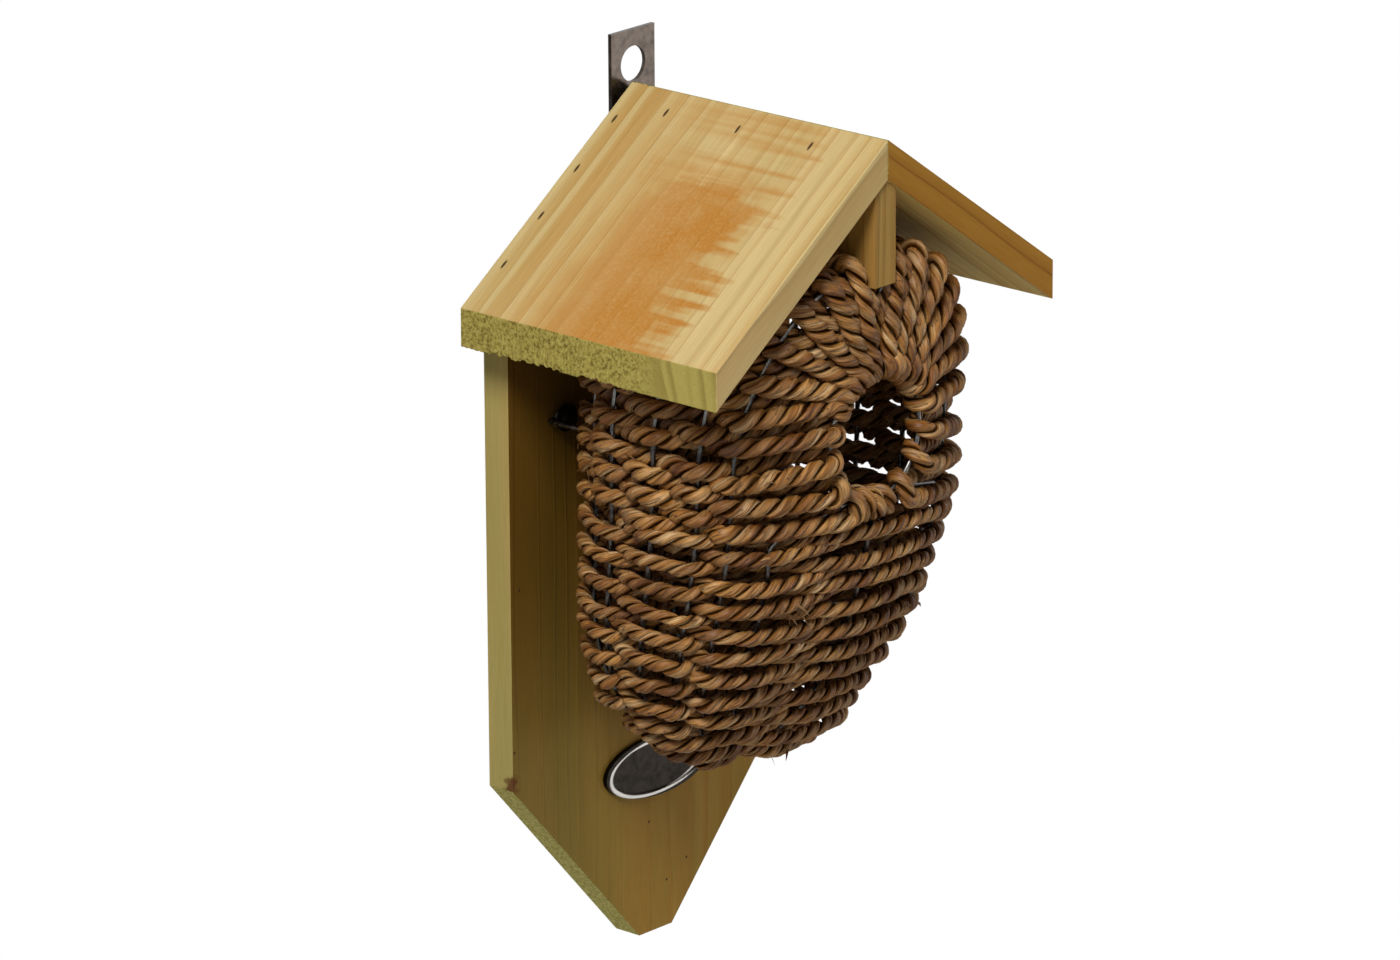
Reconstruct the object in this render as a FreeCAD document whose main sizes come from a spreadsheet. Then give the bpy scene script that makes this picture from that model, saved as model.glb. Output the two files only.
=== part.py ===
"""Woven nesting pouch under a small pitched timber roof, on a pointed back board.

Every sub-part is laid out on one bench frame, in millimetres: X to the right as seen from
the front, Y towards the wall, Z up, the back board's rear face at Y = 0 and its lowest
point at Z = 0. Each finished sub-part is then shifted by its Placement, so that the part's
own origin is the centre of the hanging hole, in the plane of the wall.
"""
import FreeCAD, Part
import math
import os
import Sketcher
from FreeCAD import Placement, Rotation, Vector

doc = FreeCAD.newDocument("birdhouse")
sheet = doc.addObject("Spreadsheet::Sheet", "sizes")

SIZES = [
    # back board
    ("board_width", 145), ("board_thick", 11), ("shoulder_height", 71), ("tip_half_width", 8.5),
    # roof: two boards mitred at the ridge with a plumb joint and plumb eaves
    ("ridge_height", 307.3), ("roof_slope", 35), ("roof_half_span", 87), ("roof_depth", 115),
    ("roof_stock", 11.4), ("roof_setback", 3),
    # batten under the ridge, between the roof boards and the pouch
    ("batten_width", 10.5), ("batten_bottom", 256.5), ("batten_setback", 1.2),
    # hanging plate on the rear face, with countersunk screws
    ("plate_width", 22), ("plate_thick", 1.5), ("plate_top", 324.5), ("plate_bottom", 248),
    ("plate_offset", 4), ("hang_hole_radius", 6.25), ("hang_hole_height", 312.3),
    ("screw_radius", 1.6), ("plate_screw_length", 10), ("plate_screw_height", 258),
    ("plate_screw_spacing", 22), ("countersink_radius", 3.4), ("screw_clearance", 0.1),
    # oval badge on the front of the board
    ("badge_length", 53.5), ("badge_height", 22), ("badge_thick", 1.8), ("badge_rim", 1.9),
    ("badge_recess", 0.8), ("badge_centre", 61.7), ("badge_tilt", 3),
    # brads driven square to the roof; distances run down the slope from the ridge
    ("brad_radius", 0.8), ("brad_length", 20), ("brad_sunk", 0.4), ("brad_clearance", 0.1),
    ("board_brad_depth", 7.2), ("board_brad_first", 16.6), ("board_brad_spacing", 22.8),
    ("ridge_brad_drop", 9.5), ("ridge_brad_first", 25.5), ("ridge_brad_spacing", 32.4),
    ("ridge_brad_stagger", 5),
    # wire frame of the pouch; depths run forwards from the board's front face
    ("wire_radius", 0.9), ("pouch_half_width", 65), ("pouch_front", 101), ("wall_gap", 0.4),
    ("pouch_waist", 190), ("pouch_belly", 150), ("pouch_bottom", 80), ("heel_depth", 39),
    ("heel_ring_height", 82), ("short_rib_end", 104), ("spring_height", 195),
    ("crown_height", 262), ("crown_dip", 2), ("entrance_radius", 23), ("entrance_height", 203),
    # rope
    ("rope_radius", 2.8), ("row_gap", 0.3), ("heel_gap", 1.6), ("rope_bend", 8),
    ("rope_clearance", 0.6), ("under_ring_gap", 1.8),
    # fastenings of the wire frame
    ("lug_inset", 19), ("lug_height", 200), ("lug_eye_radius", 3.3), ("washer_radius", 4.8),
    ("washer_thick", 1), ("lug_screw_length", 12), ("lug_head_radius", 3), ("lug_head_height", 2),
    ("staple_radius", 0.7), ("staple_span", 7.6), ("staple_leg", 14), ("staple_depth", 100),
]
for row, (alias, value) in enumerate(SIZES, start=1):
    sheet.set(f"A{row}", alias)
    sheet.set(f"B{row}", str(value))
    sheet.setAlias(f"B{row}", alias)
doc.recompute()
size = {alias: float(sheet.get(alias)) for alias, _ in SIZES}

BOARD_BRADS = 4
RIDGE_BRADS = 3
SLOPE = "sizes.roof_slope * 1 deg"
LUG_OFFSET = "(sizes.pouch_half_width - sizes.lug_inset)"
ROW_PITCH = 2 * size["rope_radius"] + size["row_gap"]
HEEL_PITCH = 2 * size["rope_radius"] + size["heel_gap"]
POUCH_BACK = (2 * size["rope_radius"] + size["wire_radius"] + size["rope_clearance"]
              + size["wall_gap"])
TOP_COURSE = (size["entrance_height"] - size["entrance_radius"] - size["wire_radius"]
              - size["rope_radius"] - size["under_ring_gap"])
RIDGE_UNDERSIDE = f"(sizes.ridge_height - sizes.roof_stock / cos({SLOPE}))"

sub_parts = []


# ---------------------------------------------------------------- shared construction

def bind(obj, **formulas):
    """Bind properties to sheet formulas; a double underscore stands for a dot."""
    for name, formula in formulas.items():
        obj.setExpression(name.replace("__", "."), formula)


def finish(obj, label, y="0", z="0"):
    """Label a sub-part and shift it from the bench frame to the hanging hole's centre."""
    obj.Label = label
    bind(obj, Placement__Base__x="-sizes.plate_offset",
         Placement__Base__y=f"{y} - sizes.plate_thick",
         Placement__Base__z=f"{z} - sizes.hang_hole_height")
    sub_parts.append(obj)
    return obj


def upright_body(name, corners, start, length):
    """A board whose outline stands in the XZ plane, padded forwards from depth start."""
    body = doc.addObject("PartDesign::Body", name)
    plane = next(f for f in body.Origin.OriginFeatures if f.Role == "XZ_Plane")
    sketch = body.newObject("Sketcher::SketchObject", name + "_outline")
    sketch.AttachmentSupport = [(plane, "")]
    sketch.MapMode = "FlatFace"
    bind(sketch, AttachmentOffset__Base__z=start)
    turns = [Rotation(Vector(0, 0, 1), 360 * i / len(corners)) for i in range(len(corners) + 1)]
    spots = [turn.multVec(Vector(1, 0, 0)) for turn in turns]
    for first, second in zip(spots, spots[1:]):
        sketch.addGeometry(Part.LineSegment(first, second))
    for index in range(len(corners)):
        after = (index + 1) % len(corners)
        sketch.addConstraint(Sketcher.Constraint("Coincident", index, 2, after, 1))
    for index, (across, up) in enumerate(corners):
        for kind, formula in (("DistanceX", across), ("DistanceY", up)):
            number = sketch.addConstraint(Sketcher.Constraint(kind, -1, 1, index, 1, 1.0))
            bind(sketch, **{f"Constraints[{number}]": formula})
    pad = body.newObject("PartDesign::Pad", name + "_pad")
    pad.Profile = sketch
    bind(pad, Length=length)
    return body


def compound(name, members):
    group = doc.addObject("Part::Compound", name)
    group.Links = members
    return group


def cut(name, base, tool):
    result = doc.addObject("Part::Cut", name)
    result.Base = base
    result.Tool = tool
    return result


def fuse(name, *members):
    result = doc.addObject("Part::MultiFuse", name)
    result.Shapes = list(members)
    return result


def rod(name, kind, rotation, x, y, z, **formulas):
    """A cylinder or cone that starts at a bench point, along the rotated Z axis."""
    solid = doc.addObject(kind, name)
    solid.Placement = Placement(Vector(), rotation)
    bind(solid, Placement__Base__x=x, Placement__Base__y=y, Placement__Base__z=z, **formulas)
    return solid


FORWARDS = Rotation(Vector(1, 0, 0), 90)    # local Z along -Y, out of the wall
UPWARDS = Rotation()


# ---------------------------------------------------------------- timber

def roof_brad(name, side, down, depth, start, length, radius):
    """A rod square to one roof board, entering it at a distance down the slope.

    side is -1 for the left board and 1 for the right; start is how far below the roof's
    surface the rod begins.
    """
    brad = rod(name, "Part::Cylinder", Rotation(Vector(0, 1, 0), 90),
               f"{side} * (({down}) * cos({SLOPE}) - ({start}) * sin({SLOPE}))",
               f"-({depth})",
               f"sizes.ridge_height - ({down}) * sin({SLOPE}) - ({start}) * cos({SLOPE})",
               Radius=radius, Height=length)
    bind(brad, Placement__Rotation__Angle=f"180 deg + {side} * {SLOPE}")
    return brad


def brad_spots():
    """Side, distance down the slope and depth from the wall of every brad, by row."""
    board_row = [(side, f"sizes.board_brad_first + {n} * sizes.board_brad_spacing",
                  "sizes.board_brad_depth") for side in (-1, 1) for n in range(BOARD_BRADS)]
    ridge_row = [(side, "sizes.ridge_brad_drop",
                  f"sizes.ridge_brad_first + {n} * sizes.ridge_brad_spacing"
                  f" + {max(side, 0)} * sizes.ridge_brad_stagger")
                 for side in (-1, 1) for n in range(RIDGE_BRADS)]
    return board_row, ridge_row


def brad_group(name, spots):
    return compound(name, [
        roof_brad(f"{name}_{n}", *spot, "sizes.brad_sunk", "sizes.brad_length",
                  "sizes.brad_radius") for n, spot in enumerate(spots)])


def brad_holes(name, spots):
    """Holes for the brads, open at the roof's surface and a clearance wider and deeper."""
    return compound(name, [
        roof_brad(f"{name}_{n}", *spot, "-1",
                  "sizes.brad_length + sizes.brad_sunk + sizes.brad_clearance + 1",
                  "sizes.brad_radius + sizes.brad_clearance") for n, spot in enumerate(spots)])


def eave_level(across):
    """Underside of the roof at a distance from the ridge."""
    return f"{RIDGE_UNDERSIDE} - ({across}) * tan({SLOPE})"


board_spots, ridge_spots = brad_spots()
finish(brad_group("board_brads", board_spots), "roof_brads_board")
finish(brad_group("ridge_brads", ridge_spots), "roof_brads_ridge")

for side, side_name in ((-1, "left"), (1, "right")):
    blank = upright_body(f"roof_{side_name}_blank", [
        ("0", "sizes.ridge_height"),
        ("0", RIDGE_UNDERSIDE),
        (f"{side} * sizes.roof_half_span", eave_level("sizes.roof_half_span")),
        (f"{side} * sizes.roof_half_span",
         f"sizes.ridge_height - sizes.roof_half_span * tan({SLOPE})"),
    ], "sizes.roof_setback", "sizes.roof_depth")
    own_spots = [spot for spot in board_spots + ridge_spots if spot[0] == side]
    holes = brad_holes(f"roof_{side_name}_holes", own_spots)
    finish(cut(f"roof_{side_name}", blank, holes), f"roof_board_{side_name}")


def plate_screw_height(number):
    return f"sizes.plate_screw_height + {number} * sizes.plate_screw_spacing"


def plate_screw_holes(name, wider):
    """Straight screw holes through the plate and into the board."""
    return [rod(f"{name}_{n}", "Part::Cylinder", FORWARDS, "sizes.plate_offset",
                "sizes.plate_thick", plate_screw_height(n),
                Radius="sizes.screw_radius" + wider, Height="sizes.plate_screw_length" + wider)
            for n in range(2)]


def lug_screw_holes(name, wider):
    """Screws of the frame lugs, seen from the head's seat on the washer to the tip."""
    return [rod(f"{name}_{n}", "Part::Cylinder", Rotation(Vector(1, 0, 0), -90),
                f"{side} * {LUG_OFFSET}", f"-sizes.board_thick - {WASHER_TOP}",
                "sizes.lug_height", Radius="sizes.screw_radius" + wider,
                Height="sizes.lug_screw_length" + wider)
            for n, side in enumerate((-1, 1))]


WIDER = " + sizes.screw_clearance"
WASHER_TOP = "(2 * sizes.wire_radius + sizes.washer_thick)"

board_blank = upright_body("board_blank", [
    ("-sizes.tip_half_width", "0"),
    ("sizes.tip_half_width", "0"),
    ("sizes.board_width / 2", "sizes.shoulder_height"),
    ("sizes.board_width / 2", eave_level("sizes.board_width / 2")),
    ("0", RIDGE_UNDERSIDE),
    ("-sizes.board_width / 2", eave_level("sizes.board_width / 2")),
    ("-sizes.board_width / 2", "sizes.shoulder_height"),
], "0", "sizes.board_thick")
board_holes = compound("board_holes", [brad_holes("board_brad_holes", board_spots)]
                       + plate_screw_holes("board_plate_holes", WIDER)
                       + lug_screw_holes("board_lug_holes", WIDER))
finish(cut("board", board_blank, board_holes), "back_board")

batten_blank = upright_body("batten_blank", [
    ("-sizes.batten_width / 2", "sizes.batten_bottom"),
    ("sizes.batten_width / 2", "sizes.batten_bottom"),
    ("sizes.batten_width / 2", eave_level("sizes.batten_width / 2")),
    ("0", RIDGE_UNDERSIDE),
    ("-sizes.batten_width / 2", eave_level("sizes.batten_width / 2")),
], "sizes.board_thick",
    "sizes.roof_setback + sizes.roof_depth - sizes.batten_setback - sizes.board_thick")
staple_holes = [
    rod(f"staple_hole_{n}", "Part::Cylinder", UPWARDS, "0",
        f"-sizes.board_thick - sizes.staple_depth + {side} * sizes.staple_span / 2",
        "sizes.batten_bottom - 1", Radius="sizes.staple_radius" + WIDER,
        Height="sizes.staple_leg") for n, side in enumerate((-1, 1))]
batten_holes = compound("batten_holes",
                        [brad_holes("batten_brad_holes", ridge_spots)] + staple_holes)
finish(cut("batten", batten_blank, batten_holes), "ridge_batten")


# ---------------------------------------------------------------- hanging plate and badge

def countersinks(name, wider):
    return [rod(f"{name}_{n}", "Part::Cone", FORWARDS, "sizes.plate_offset",
                "sizes.plate_thick", plate_screw_height(n),
                Radius1="sizes.countersink_radius" + wider, Radius2="sizes.screw_radius" + wider,
                Height="sizes.plate_thick") for n in range(2)]


plate_blank = rod("plate_blank", "Part::Box", UPWARDS,
                  "sizes.plate_offset - sizes.plate_width / 2", "0", "sizes.plate_bottom",
                  Length="sizes.plate_width", Width="sizes.plate_thick",
                  Height="sizes.plate_top - sizes.plate_bottom")
hang_hole = rod("hang_hole", "Part::Cylinder", FORWARDS, "sizes.plate_offset",
                "sizes.plate_thick", "sizes.hang_hole_height",
                Radius="sizes.hang_hole_radius", Height="sizes.plate_thick")
plate_holes = compound("plate_holes", [hang_hole] + plate_screw_holes("plate_bores", WIDER)
                       + countersinks("plate_countersinks", WIDER))
finish(cut("plate", plate_blank, plate_holes), "hanging_plate")

plate_screws = [
    fuse(f"plate_screw_{n}", shank, head) for n, (shank, head) in enumerate(zip(
        plate_screw_holes("plate_shanks", ""), countersinks("plate_heads", "")))]
finish(compound("plate_screws", plate_screws), "hanging_plate_screws")


def oval(name, inset, start, thick):
    """An elliptical slab, long axis tilted in the board's face."""
    outline = doc.addObject("Part::Ellipse", name + "_outline")
    outline.Placement = Placement(Vector(), Rotation(Vector(0, 0, 1), -1))
    bind(outline, MajorRadius=f"sizes.badge_length / 2 - {inset}",
         MinorRadius=f"sizes.badge_height / 2 - {inset}",
         Placement__Rotation__Angle="-sizes.badge_tilt * 1 deg",
         Placement__Base__z=start)
    slab = doc.addObject("Part::Extrusion", name)
    slab.Base = outline
    slab.DirMode = "Custom"
    slab.Dir = Vector(0, 0, 1)
    slab.Solid = True
    bind(slab, LengthFwd=thick)
    return slab


badge = cut("badge", oval("badge_blank", "0", "0", "sizes.badge_thick"),
            oval("badge_face", "sizes.badge_rim", "sizes.badge_thick - sizes.badge_recess",
                 "sizes.badge_recess"))
badge.Placement = Placement(Vector(), FORWARDS)
finish(badge, "oval_badge", y="-sizes.board_thick", z="sizes.badge_centre")


# ---------------------------------------------------------------- shape of the pouch

SECTION_POWER = 2.5     # roundness of a level section
SIDE_POWER = 2.3        # how the sides and the back close towards the heel
FRONT_POWER = 1.7       # how the front slopes back towards the heel
CROWN_POWER = 2.4       # roundness of the hoops' arches

# Ribs of the left half, from front centre to back centre: name, angle round the level
# section (90 at the front, -90 at the wall), depth of its crown under the batten, and
# whether it stops short of the heel. The pouch is symmetric.
RIBS = [
    ("front", 90, None, False), ("entrance_side", 54, None, True), ("first", 36, 100, False),
    ("second", 22, 82, True), ("third", 3, 60, False), ("fourth", -14, 37, True),
    ("fifth", -40, 20, False), ("rear", -62, 12, True), ("back", -90, None, False),
]
FIRST_HOOP, LAST_HOOP = 2, 7


STRAIGHT = 0.002    # half a turn, in radians, that counts as none

# Distance of a rope's centre line from the wire that it passes.
AMPLITUDE = size["rope_radius"] + size["wire_radius"] + size["rope_clearance"]


def signed_power(value, power):
    return math.copysign(abs(value) ** power, value)


def narrowing(height, start, power):
    """Share of its full reach that the pouch keeps at a height below start."""
    share = max(0.0, start - height) / (start - size["pouch_bottom"])
    return (1 - min(share, 1.0) ** power) ** (1 / power)


def bench_point(x, depth, z):
    return Vector(x, -size["board_thick"] - depth, z)


def wall_point(angle, height):
    """Centre line of the wire frame at an angle round the level section."""
    across = size["pouch_half_width"] * narrowing(height, size["pouch_belly"], SIDE_POWER)
    heel = size["heel_depth"]
    front = (size["pouch_front"] - heel) * narrowing(height, size["pouch_waist"], FRONT_POWER)
    back = (heel - POUCH_BACK) * narrowing(height, size["pouch_belly"], SIDE_POWER)
    turn = math.radians(angle)
    reach = signed_power(math.sin(turn), 2 / SECTION_POWER)
    depth = heel + (front - back) / 2 + (front + back) / 2 * reach
    return bench_point(-across * signed_power(math.cos(turn), 2 / SECTION_POWER), depth, height)


def arch_point(rib, climb):
    """A hoop's arch on the left half: climb 0 at its spring, 90 at its crown."""
    spring = wall_point(RIBS[rib][1], size["spring_height"])
    turn = math.radians(climb)
    rise = signed_power(math.sin(turn), 2 / CROWN_POWER)
    foot = -spring.y - size["board_thick"]
    depth = foot + (RIBS[rib][2] - foot) * math.sin(turn)
    return bench_point(spring.x * signed_power(math.cos(turn), 2 / CROWN_POWER), depth,
                       spring.z + (size["crown_height"] - spring.z) * rise)


def entrance_point(climb, radius):
    """A point beside the entrance on the left half, climb measured above its centre."""
    turn = math.radians(climb)
    return bench_point(-radius * math.cos(turn), size["pouch_front"],
                       size["entrance_height"] + radius * math.sin(turn))


def outward(along, around, point):
    """Unit normal of the pouch's wall, away from its middle."""
    normal = along.cross(around).normalize()
    middle = bench_point(0, (size["pouch_front"] + POUCH_BACK) / 2, size["spring_height"])
    return normal if normal.dot(point - middle) > 0 else normal * -1


def mirrored(points):
    return [Vector(-p.x, p.y, p.z) for p in points]


def bend_at(before, corner, after):
    """Half the turn at a corner, and the unit directions back and ahead from it."""
    back = (before - corner).normalize()
    ahead = (after - corner).normalize()
    half_turn = (math.pi - back.getAngle(ahead)) / 2
    return half_turn, back, ahead


def tangent_path(points, largest_bend, closed=False):
    """Straight runs joined by tangent arcs; each arc's middle passes through its point."""
    count = len(points)
    inner = range(count) if closed else range(1, count - 1)
    corners = list(points)
    legs = {}
    for n in inner:
        before, here, after = points[n - 1], points[n], points[(n + 1) % count]
        half_turn, back, ahead = bend_at(before, here, after)
        if half_turn > STRAIGHT:
            inwards = (back + ahead).normalize()
            shorter = min((before - here).Length, (after - here).Length)
            radius = min(largest_bend, 0.45 * shorter / math.tan(half_turn))
            legs[n] = radius * math.tan(half_turn)
            corners[n] = here - inwards * radius * (1 / math.cos(half_turn) - 1)
    arcs = {}
    for n, leg in legs.items():
        corner = corners[n]
        half_turn, back, ahead = bend_at(corners[n - 1], corner, corners[(n + 1) % count])
        inwards = (back + ahead).normalize()
        middle = corner + inwards * leg / math.tan(half_turn) * (1 / math.cos(half_turn) - 1)
        arcs[n] = (corner + back * leg, middle, corner + ahead * leg)
    chain = []
    for n in range(count):
        if n in arcs:
            chain.append(Part.Arc(*arcs[n]).toShape())
        if closed or n < count - 1:
            start = arcs[n][2] if n in arcs else corners[n]
            after = (n + 1) % count
            stop = arcs[after][0] if after in arcs else corners[after]
            chain.append(Part.LineSegment(start, stop).toShape())
    return Part.Wire(chain)


def tube(points, radius, largest_bend, closed=False):
    """A round tube along a tangent path, its volume compared with section times length."""
    path = tangent_path(points, largest_bend, closed)
    first = path.Edges[0]
    start = first.valueAt(first.FirstParameter)
    heading = first.tangentAt(first.FirstParameter)
    section = Part.Face(Part.Wire([Part.Circle(start, heading, radius).toShape()]))
    solid = path.makePipe(section)
    expected = math.pi * radius ** 2 * path.Length
    if abs(solid.Volume - expected) > 0.01 * expected:
        raise ValueError(f"a tube's volume is {solid.Volume:.1f}, not {expected:.1f}")
    return solid


def shaped(label, shape):
    """A sub-part whose shape is worked out from the sheet by the code above."""
    feature = doc.addObject("Part::Feature", label)
    feature.Shape = shape
    return finish(feature, label)


def nearest_step(upper, lower):
    """Smallest distance between two level sections, over the whole way round."""
    return min((wall_point(angle, upper) - wall_point(angle, lower)).Length
               for angle in range(-90, 91, 15))


def course_heights():
    """Levels of the closed courses, one pitch apart along the wall, wider round the heel."""
    heights = [TOP_COURSE]
    lowest = size["heel_ring_height"] + size["rope_radius"] / 2
    height = heights[0]
    while height > lowest:
        height -= 0.05
        pitch = ROW_PITCH if height > size["short_rib_end"] else HEEL_PITCH
        if nearest_step(heights[-1], height) >= pitch:
            heights.append(height)
    return heights


COURSE_HEIGHTS = course_heights()
SHORT_RIB_BOTTOM = min(height for height in COURSE_HEIGHTS if height > size["short_rib_end"])


# ---------------------------------------------------------------- wire frame

WIRE_BEND = 60
TOUCH = 0.1     # gap between two wires that meet
HEIGHT_STEP = 9
CLIMB_STEP = 6


def wire(points):
    return tube(points, size["wire_radius"], WIRE_BEND)


def rib_leg(rib):
    """The lower part of a rib, from its bottom end up to where the arch or entrance starts."""
    _, angle, crown, is_short = RIBS[rib]
    bottom = SHORT_RIB_BOTTOM if is_short else size["heel_ring_height"]
    top = size["spring_height"] - 4 if crown else TOP_COURSE - 2
    steps = max(2, round((top - bottom) / HEIGHT_STEP))
    points = []
    for step in range(steps + 1):
        share = step / steps
        points.append(wall_point(angle, bottom + (top - bottom) * share ** 1.6))
    return points


def hoop(rib):
    """One wire: up the left leg, under the batten and down the right leg."""
    arch = []
    climb = CLIMB_STEP
    clear = size["batten_width"] / 2 + size["wire_radius"] + 0.6
    under = size["batten_bottom"] - size["crown_dip"]
    while climb < 90 and -arch_point(rib, climb).x > clear + 2.5:
        arch.append(arch_point(rib, climb))
        climb += CLIMB_STEP
    arch.append(bench_point(-clear, RIBS[rib][2], under))
    left = rib_leg(rib) + arch
    return wire(left + list(reversed(mirrored(left))))


shaped("entrance_ring", Part.makeTorus(
    size["entrance_radius"], size["wire_radius"],
    bench_point(0, size["pouch_front"], size["entrance_height"]), Vector(0, 1, 0)))

for rib in range(FIRST_HOOP, LAST_HOOP + 1):
    shaped(f"frame_hoop_{rib - FIRST_HOOP + 1}", hoop(rib))

beside_ring = size["entrance_radius"] + size["wire_radius"] + TOUCH
front_rib = rib_leg(0) + [entrance_point(-90, beside_ring)]
shaped("frame_front_rib", wire(front_rib))
side_rib = rib_leg(1) + [entrance_point(-60, beside_ring)]
shaped("frame_entrance_ribs", Part.makeCompound([wire(side_rib), wire(mirrored(side_rib))]))
back_top = bench_point(0, POUCH_BACK, size["spring_height"])
shaped("frame_back_rib", wire(rib_leg(8) + [back_top]))

inside = size["wire_radius"] + 4 * TOUCH
heel_points = []
for angle in range(0, 360, 20):
    rim = wall_point(angle, size["heel_ring_height"])
    centre = bench_point(0, size["heel_depth"], rim.z)
    outwards = rim - centre
    heel_points.append(centre + outwards * (1 - inside / outwards.Length))
shaped("frame_heel_ring", tube(heel_points, size["wire_radius"], WIRE_BEND, closed=True))


# ---------------------------------------------------------------- rope

BESIDE_ENTRANCE = size["entrance_radius"] + size["wire_radius"] + 2.1
SIDE_ROWS = 3
FAN_STEP = math.degrees(ROW_PITCH / BESIDE_ENTRANCE)
FAN_FIRST, FAN_LAST = 8, 74
FAN_CLIMBS = [FAN_FIRST + FAN_STEP * n
              for n in range(1 + int((FAN_LAST - FAN_FIRST) / FAN_STEP))]


def rope(points, closed=False):
    return tube(points, size["rope_radius"], size["rope_bend"], closed)


def woven_side(row, crossing):
    """Rows pass alternately outside and inside the ribs, and so do neighbouring rows."""
    return 1 if (row + crossing) % 2 == 0 else -1


def crossing_point(angle, height, side):
    """Where a level row passes a rib, outside (1) or inside (-1) the wire."""
    here = wall_point(angle, height)
    around = wall_point(angle + 1, height) - wall_point(angle - 1, height)
    along = wall_point(angle, height + 1) - wall_point(angle, height - 1)
    return here + outward(along, around, here) * AMPLITUDE * side


def level_half(row, height, ribs):
    """Crossings of the left half of a level row, from the front to the back."""
    return [crossing_point(RIBS[rib][1], height, woven_side(row, number))
            for number, rib in enumerate(ribs)]


def closed_course(row, height):
    ribs = [n for n, rib in enumerate(RIBS) if not rib[3] or height >= SHORT_RIB_BOTTOM]
    left = level_half(row, height, ribs)
    return rope(left + list(reversed(mirrored(left[1:-1]))), closed=True)


for row, height in enumerate(COURSE_HEIGHTS):
    shaped(f"rope_course_{row + 1:02d}", closed_course(row, height))

def heel_coil():
    """The rope's folded end, which closes the heel inside its ring."""
    rim = [wall_point(angle, size["heel_ring_height"]) for angle in (0, 90, -90)]
    gap = inside + AMPLITUDE
    bend = (rim[2].y - rim[1].y) / 2 - gap
    middle = (rim[1].y + rim[2].y) / 2
    reach = -rim[0].x - gap - bend
    corners = [Vector(x, middle + y, rim[0].z)
               for x, y in ((-reach, -bend), (reach, -bend), (reach, bend), (-reach, bend))]
    tips = [Vector(x, middle, rim[0].z) for x in (reach + bend, -reach - bend)]
    path = Part.Wire([
        Part.LineSegment(corners[0], corners[1]).toShape(),
        Part.Arc(corners[1], tips[0], corners[2]).toShape(),
        Part.LineSegment(corners[2], corners[3]).toShape(),
        Part.Arc(corners[3], tips[1], corners[0]).toShape()])
    section = Part.Circle(corners[0], Vector(1, 0, 0), size["rope_radius"]).toShape()
    return path.makePipe(Part.Face(Part.Wire([section])))


shaped("rope_heel_coil", heel_coil())

for row in range(1, SIDE_ROWS + 1):
    height = TOP_COURSE + row * ROW_PITCH
    below = size["entrance_height"] - height
    start = entrance_point(-math.degrees(math.asin(below / BESIDE_ENTRANCE)), BESIDE_ENTRANCE)
    if woven_side(row, 1) > 0:
        start = start - Vector(0, AMPLITUDE, 0)
    ribs = range(1 if row == 1 else FIRST_HOOP, len(RIBS))
    left = [start] + [crossing_point(RIBS[rib][1], height, woven_side(row, rib)) for rib in ribs]
    shaped(f"rope_side_row_{row}", rope(left + list(reversed(mirrored(left[:-1])))))


def fan_strand(number, climb):
    """A strand from the entrance ring up over the shoulder and back to the wall."""
    rows = [entrance_point(climb, BESIDE_ENTRANCE)]
    rows += [arch_point(rib, climb) for rib in range(FIRST_HOOP, LAST_HOOP + 1)]
    points = [rows[0]]
    for place in range(1, len(rows)):
        rib = FIRST_HOOP + place - 1
        ahead = rows[min(place + 1, len(rows) - 1)] - rows[place - 1]
        around = arch_point(rib, climb + 1) - arch_point(rib, climb - 1)
        side = woven_side(SIDE_ROWS + 1 + number, rib)
        points.append(rows[place] + outward(ahead, around, rows[place]) * AMPLITUDE * side)
    return points


for number, climb in enumerate(FAN_CLIMBS):
    strand = fan_strand(number, climb)
    shaped(f"rope_fan_left_{number + 1}", rope(strand))
    shaped(f"rope_fan_right_{number + 1}", rope(mirrored(strand)))


# ---------------------------------------------------------------- fastenings of the frame

LUG_BEND = 3


def frame_lug():
    """Wire eye round the lug screw, with an arm out to the fifth hoop."""
    eye_centre = bench_point(size["lug_inset"] - size["pouch_half_width"], size["wire_radius"], size["lug_height"])
    eye = Part.makeTorus(size["lug_eye_radius"], size["wire_radius"], eye_centre, Vector(0, 1, 0))
    spring = wall_point(RIBS[6][1], size["spring_height"])
    foot = eye_centre - Vector(size["lug_eye_radius"], 0, 0)
    elbow = Vector(spring.x, foot.y, foot.z)
    tip = elbow + Vector(0, spring.y - elbow.y + 2 * size["wire_radius"] + TOUCH, 0)
    arm = tube([foot, elbow, tip], size["wire_radius"], LUG_BEND)
    return eye.fuse(arm)


lug = frame_lug()
shaped("frame_lugs", Part.makeCompound([lug, lug.mirror(Vector(), Vector(1, 0, 0))]))

washer_blanks = compound("washer_blanks", [
    rod(f"washer_blank_{n}", "Part::Cylinder", FORWARDS, f"{side} * {LUG_OFFSET}",
        "-sizes.board_thick - 2 * sizes.wire_radius", "sizes.lug_height",
        Radius="sizes.washer_radius", Height="sizes.washer_thick")
    for n, side in enumerate((-1, 1))])
washer_bores = compound("washer_bores", lug_screw_holes("washer_bore", WIDER))
finish(cut("washers", washer_blanks, washer_bores), "frame_washers")

lug_screws = []
for n, shank in enumerate(lug_screw_holes("lug_shank", "")):
    head = rod(f"lug_head_{n}", "Part::Cylinder", FORWARDS, f"{2 * n - 1} * {LUG_OFFSET}",
               f"-sizes.board_thick - {WASHER_TOP}", "sizes.lug_height",
               Radius="sizes.lug_head_radius", Height="sizes.lug_head_height")
    lug_screws.append(fuse(f"lug_screw_{n}", shank, head))
finish(compound("lug_screws", lug_screws), "frame_screws")

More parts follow.
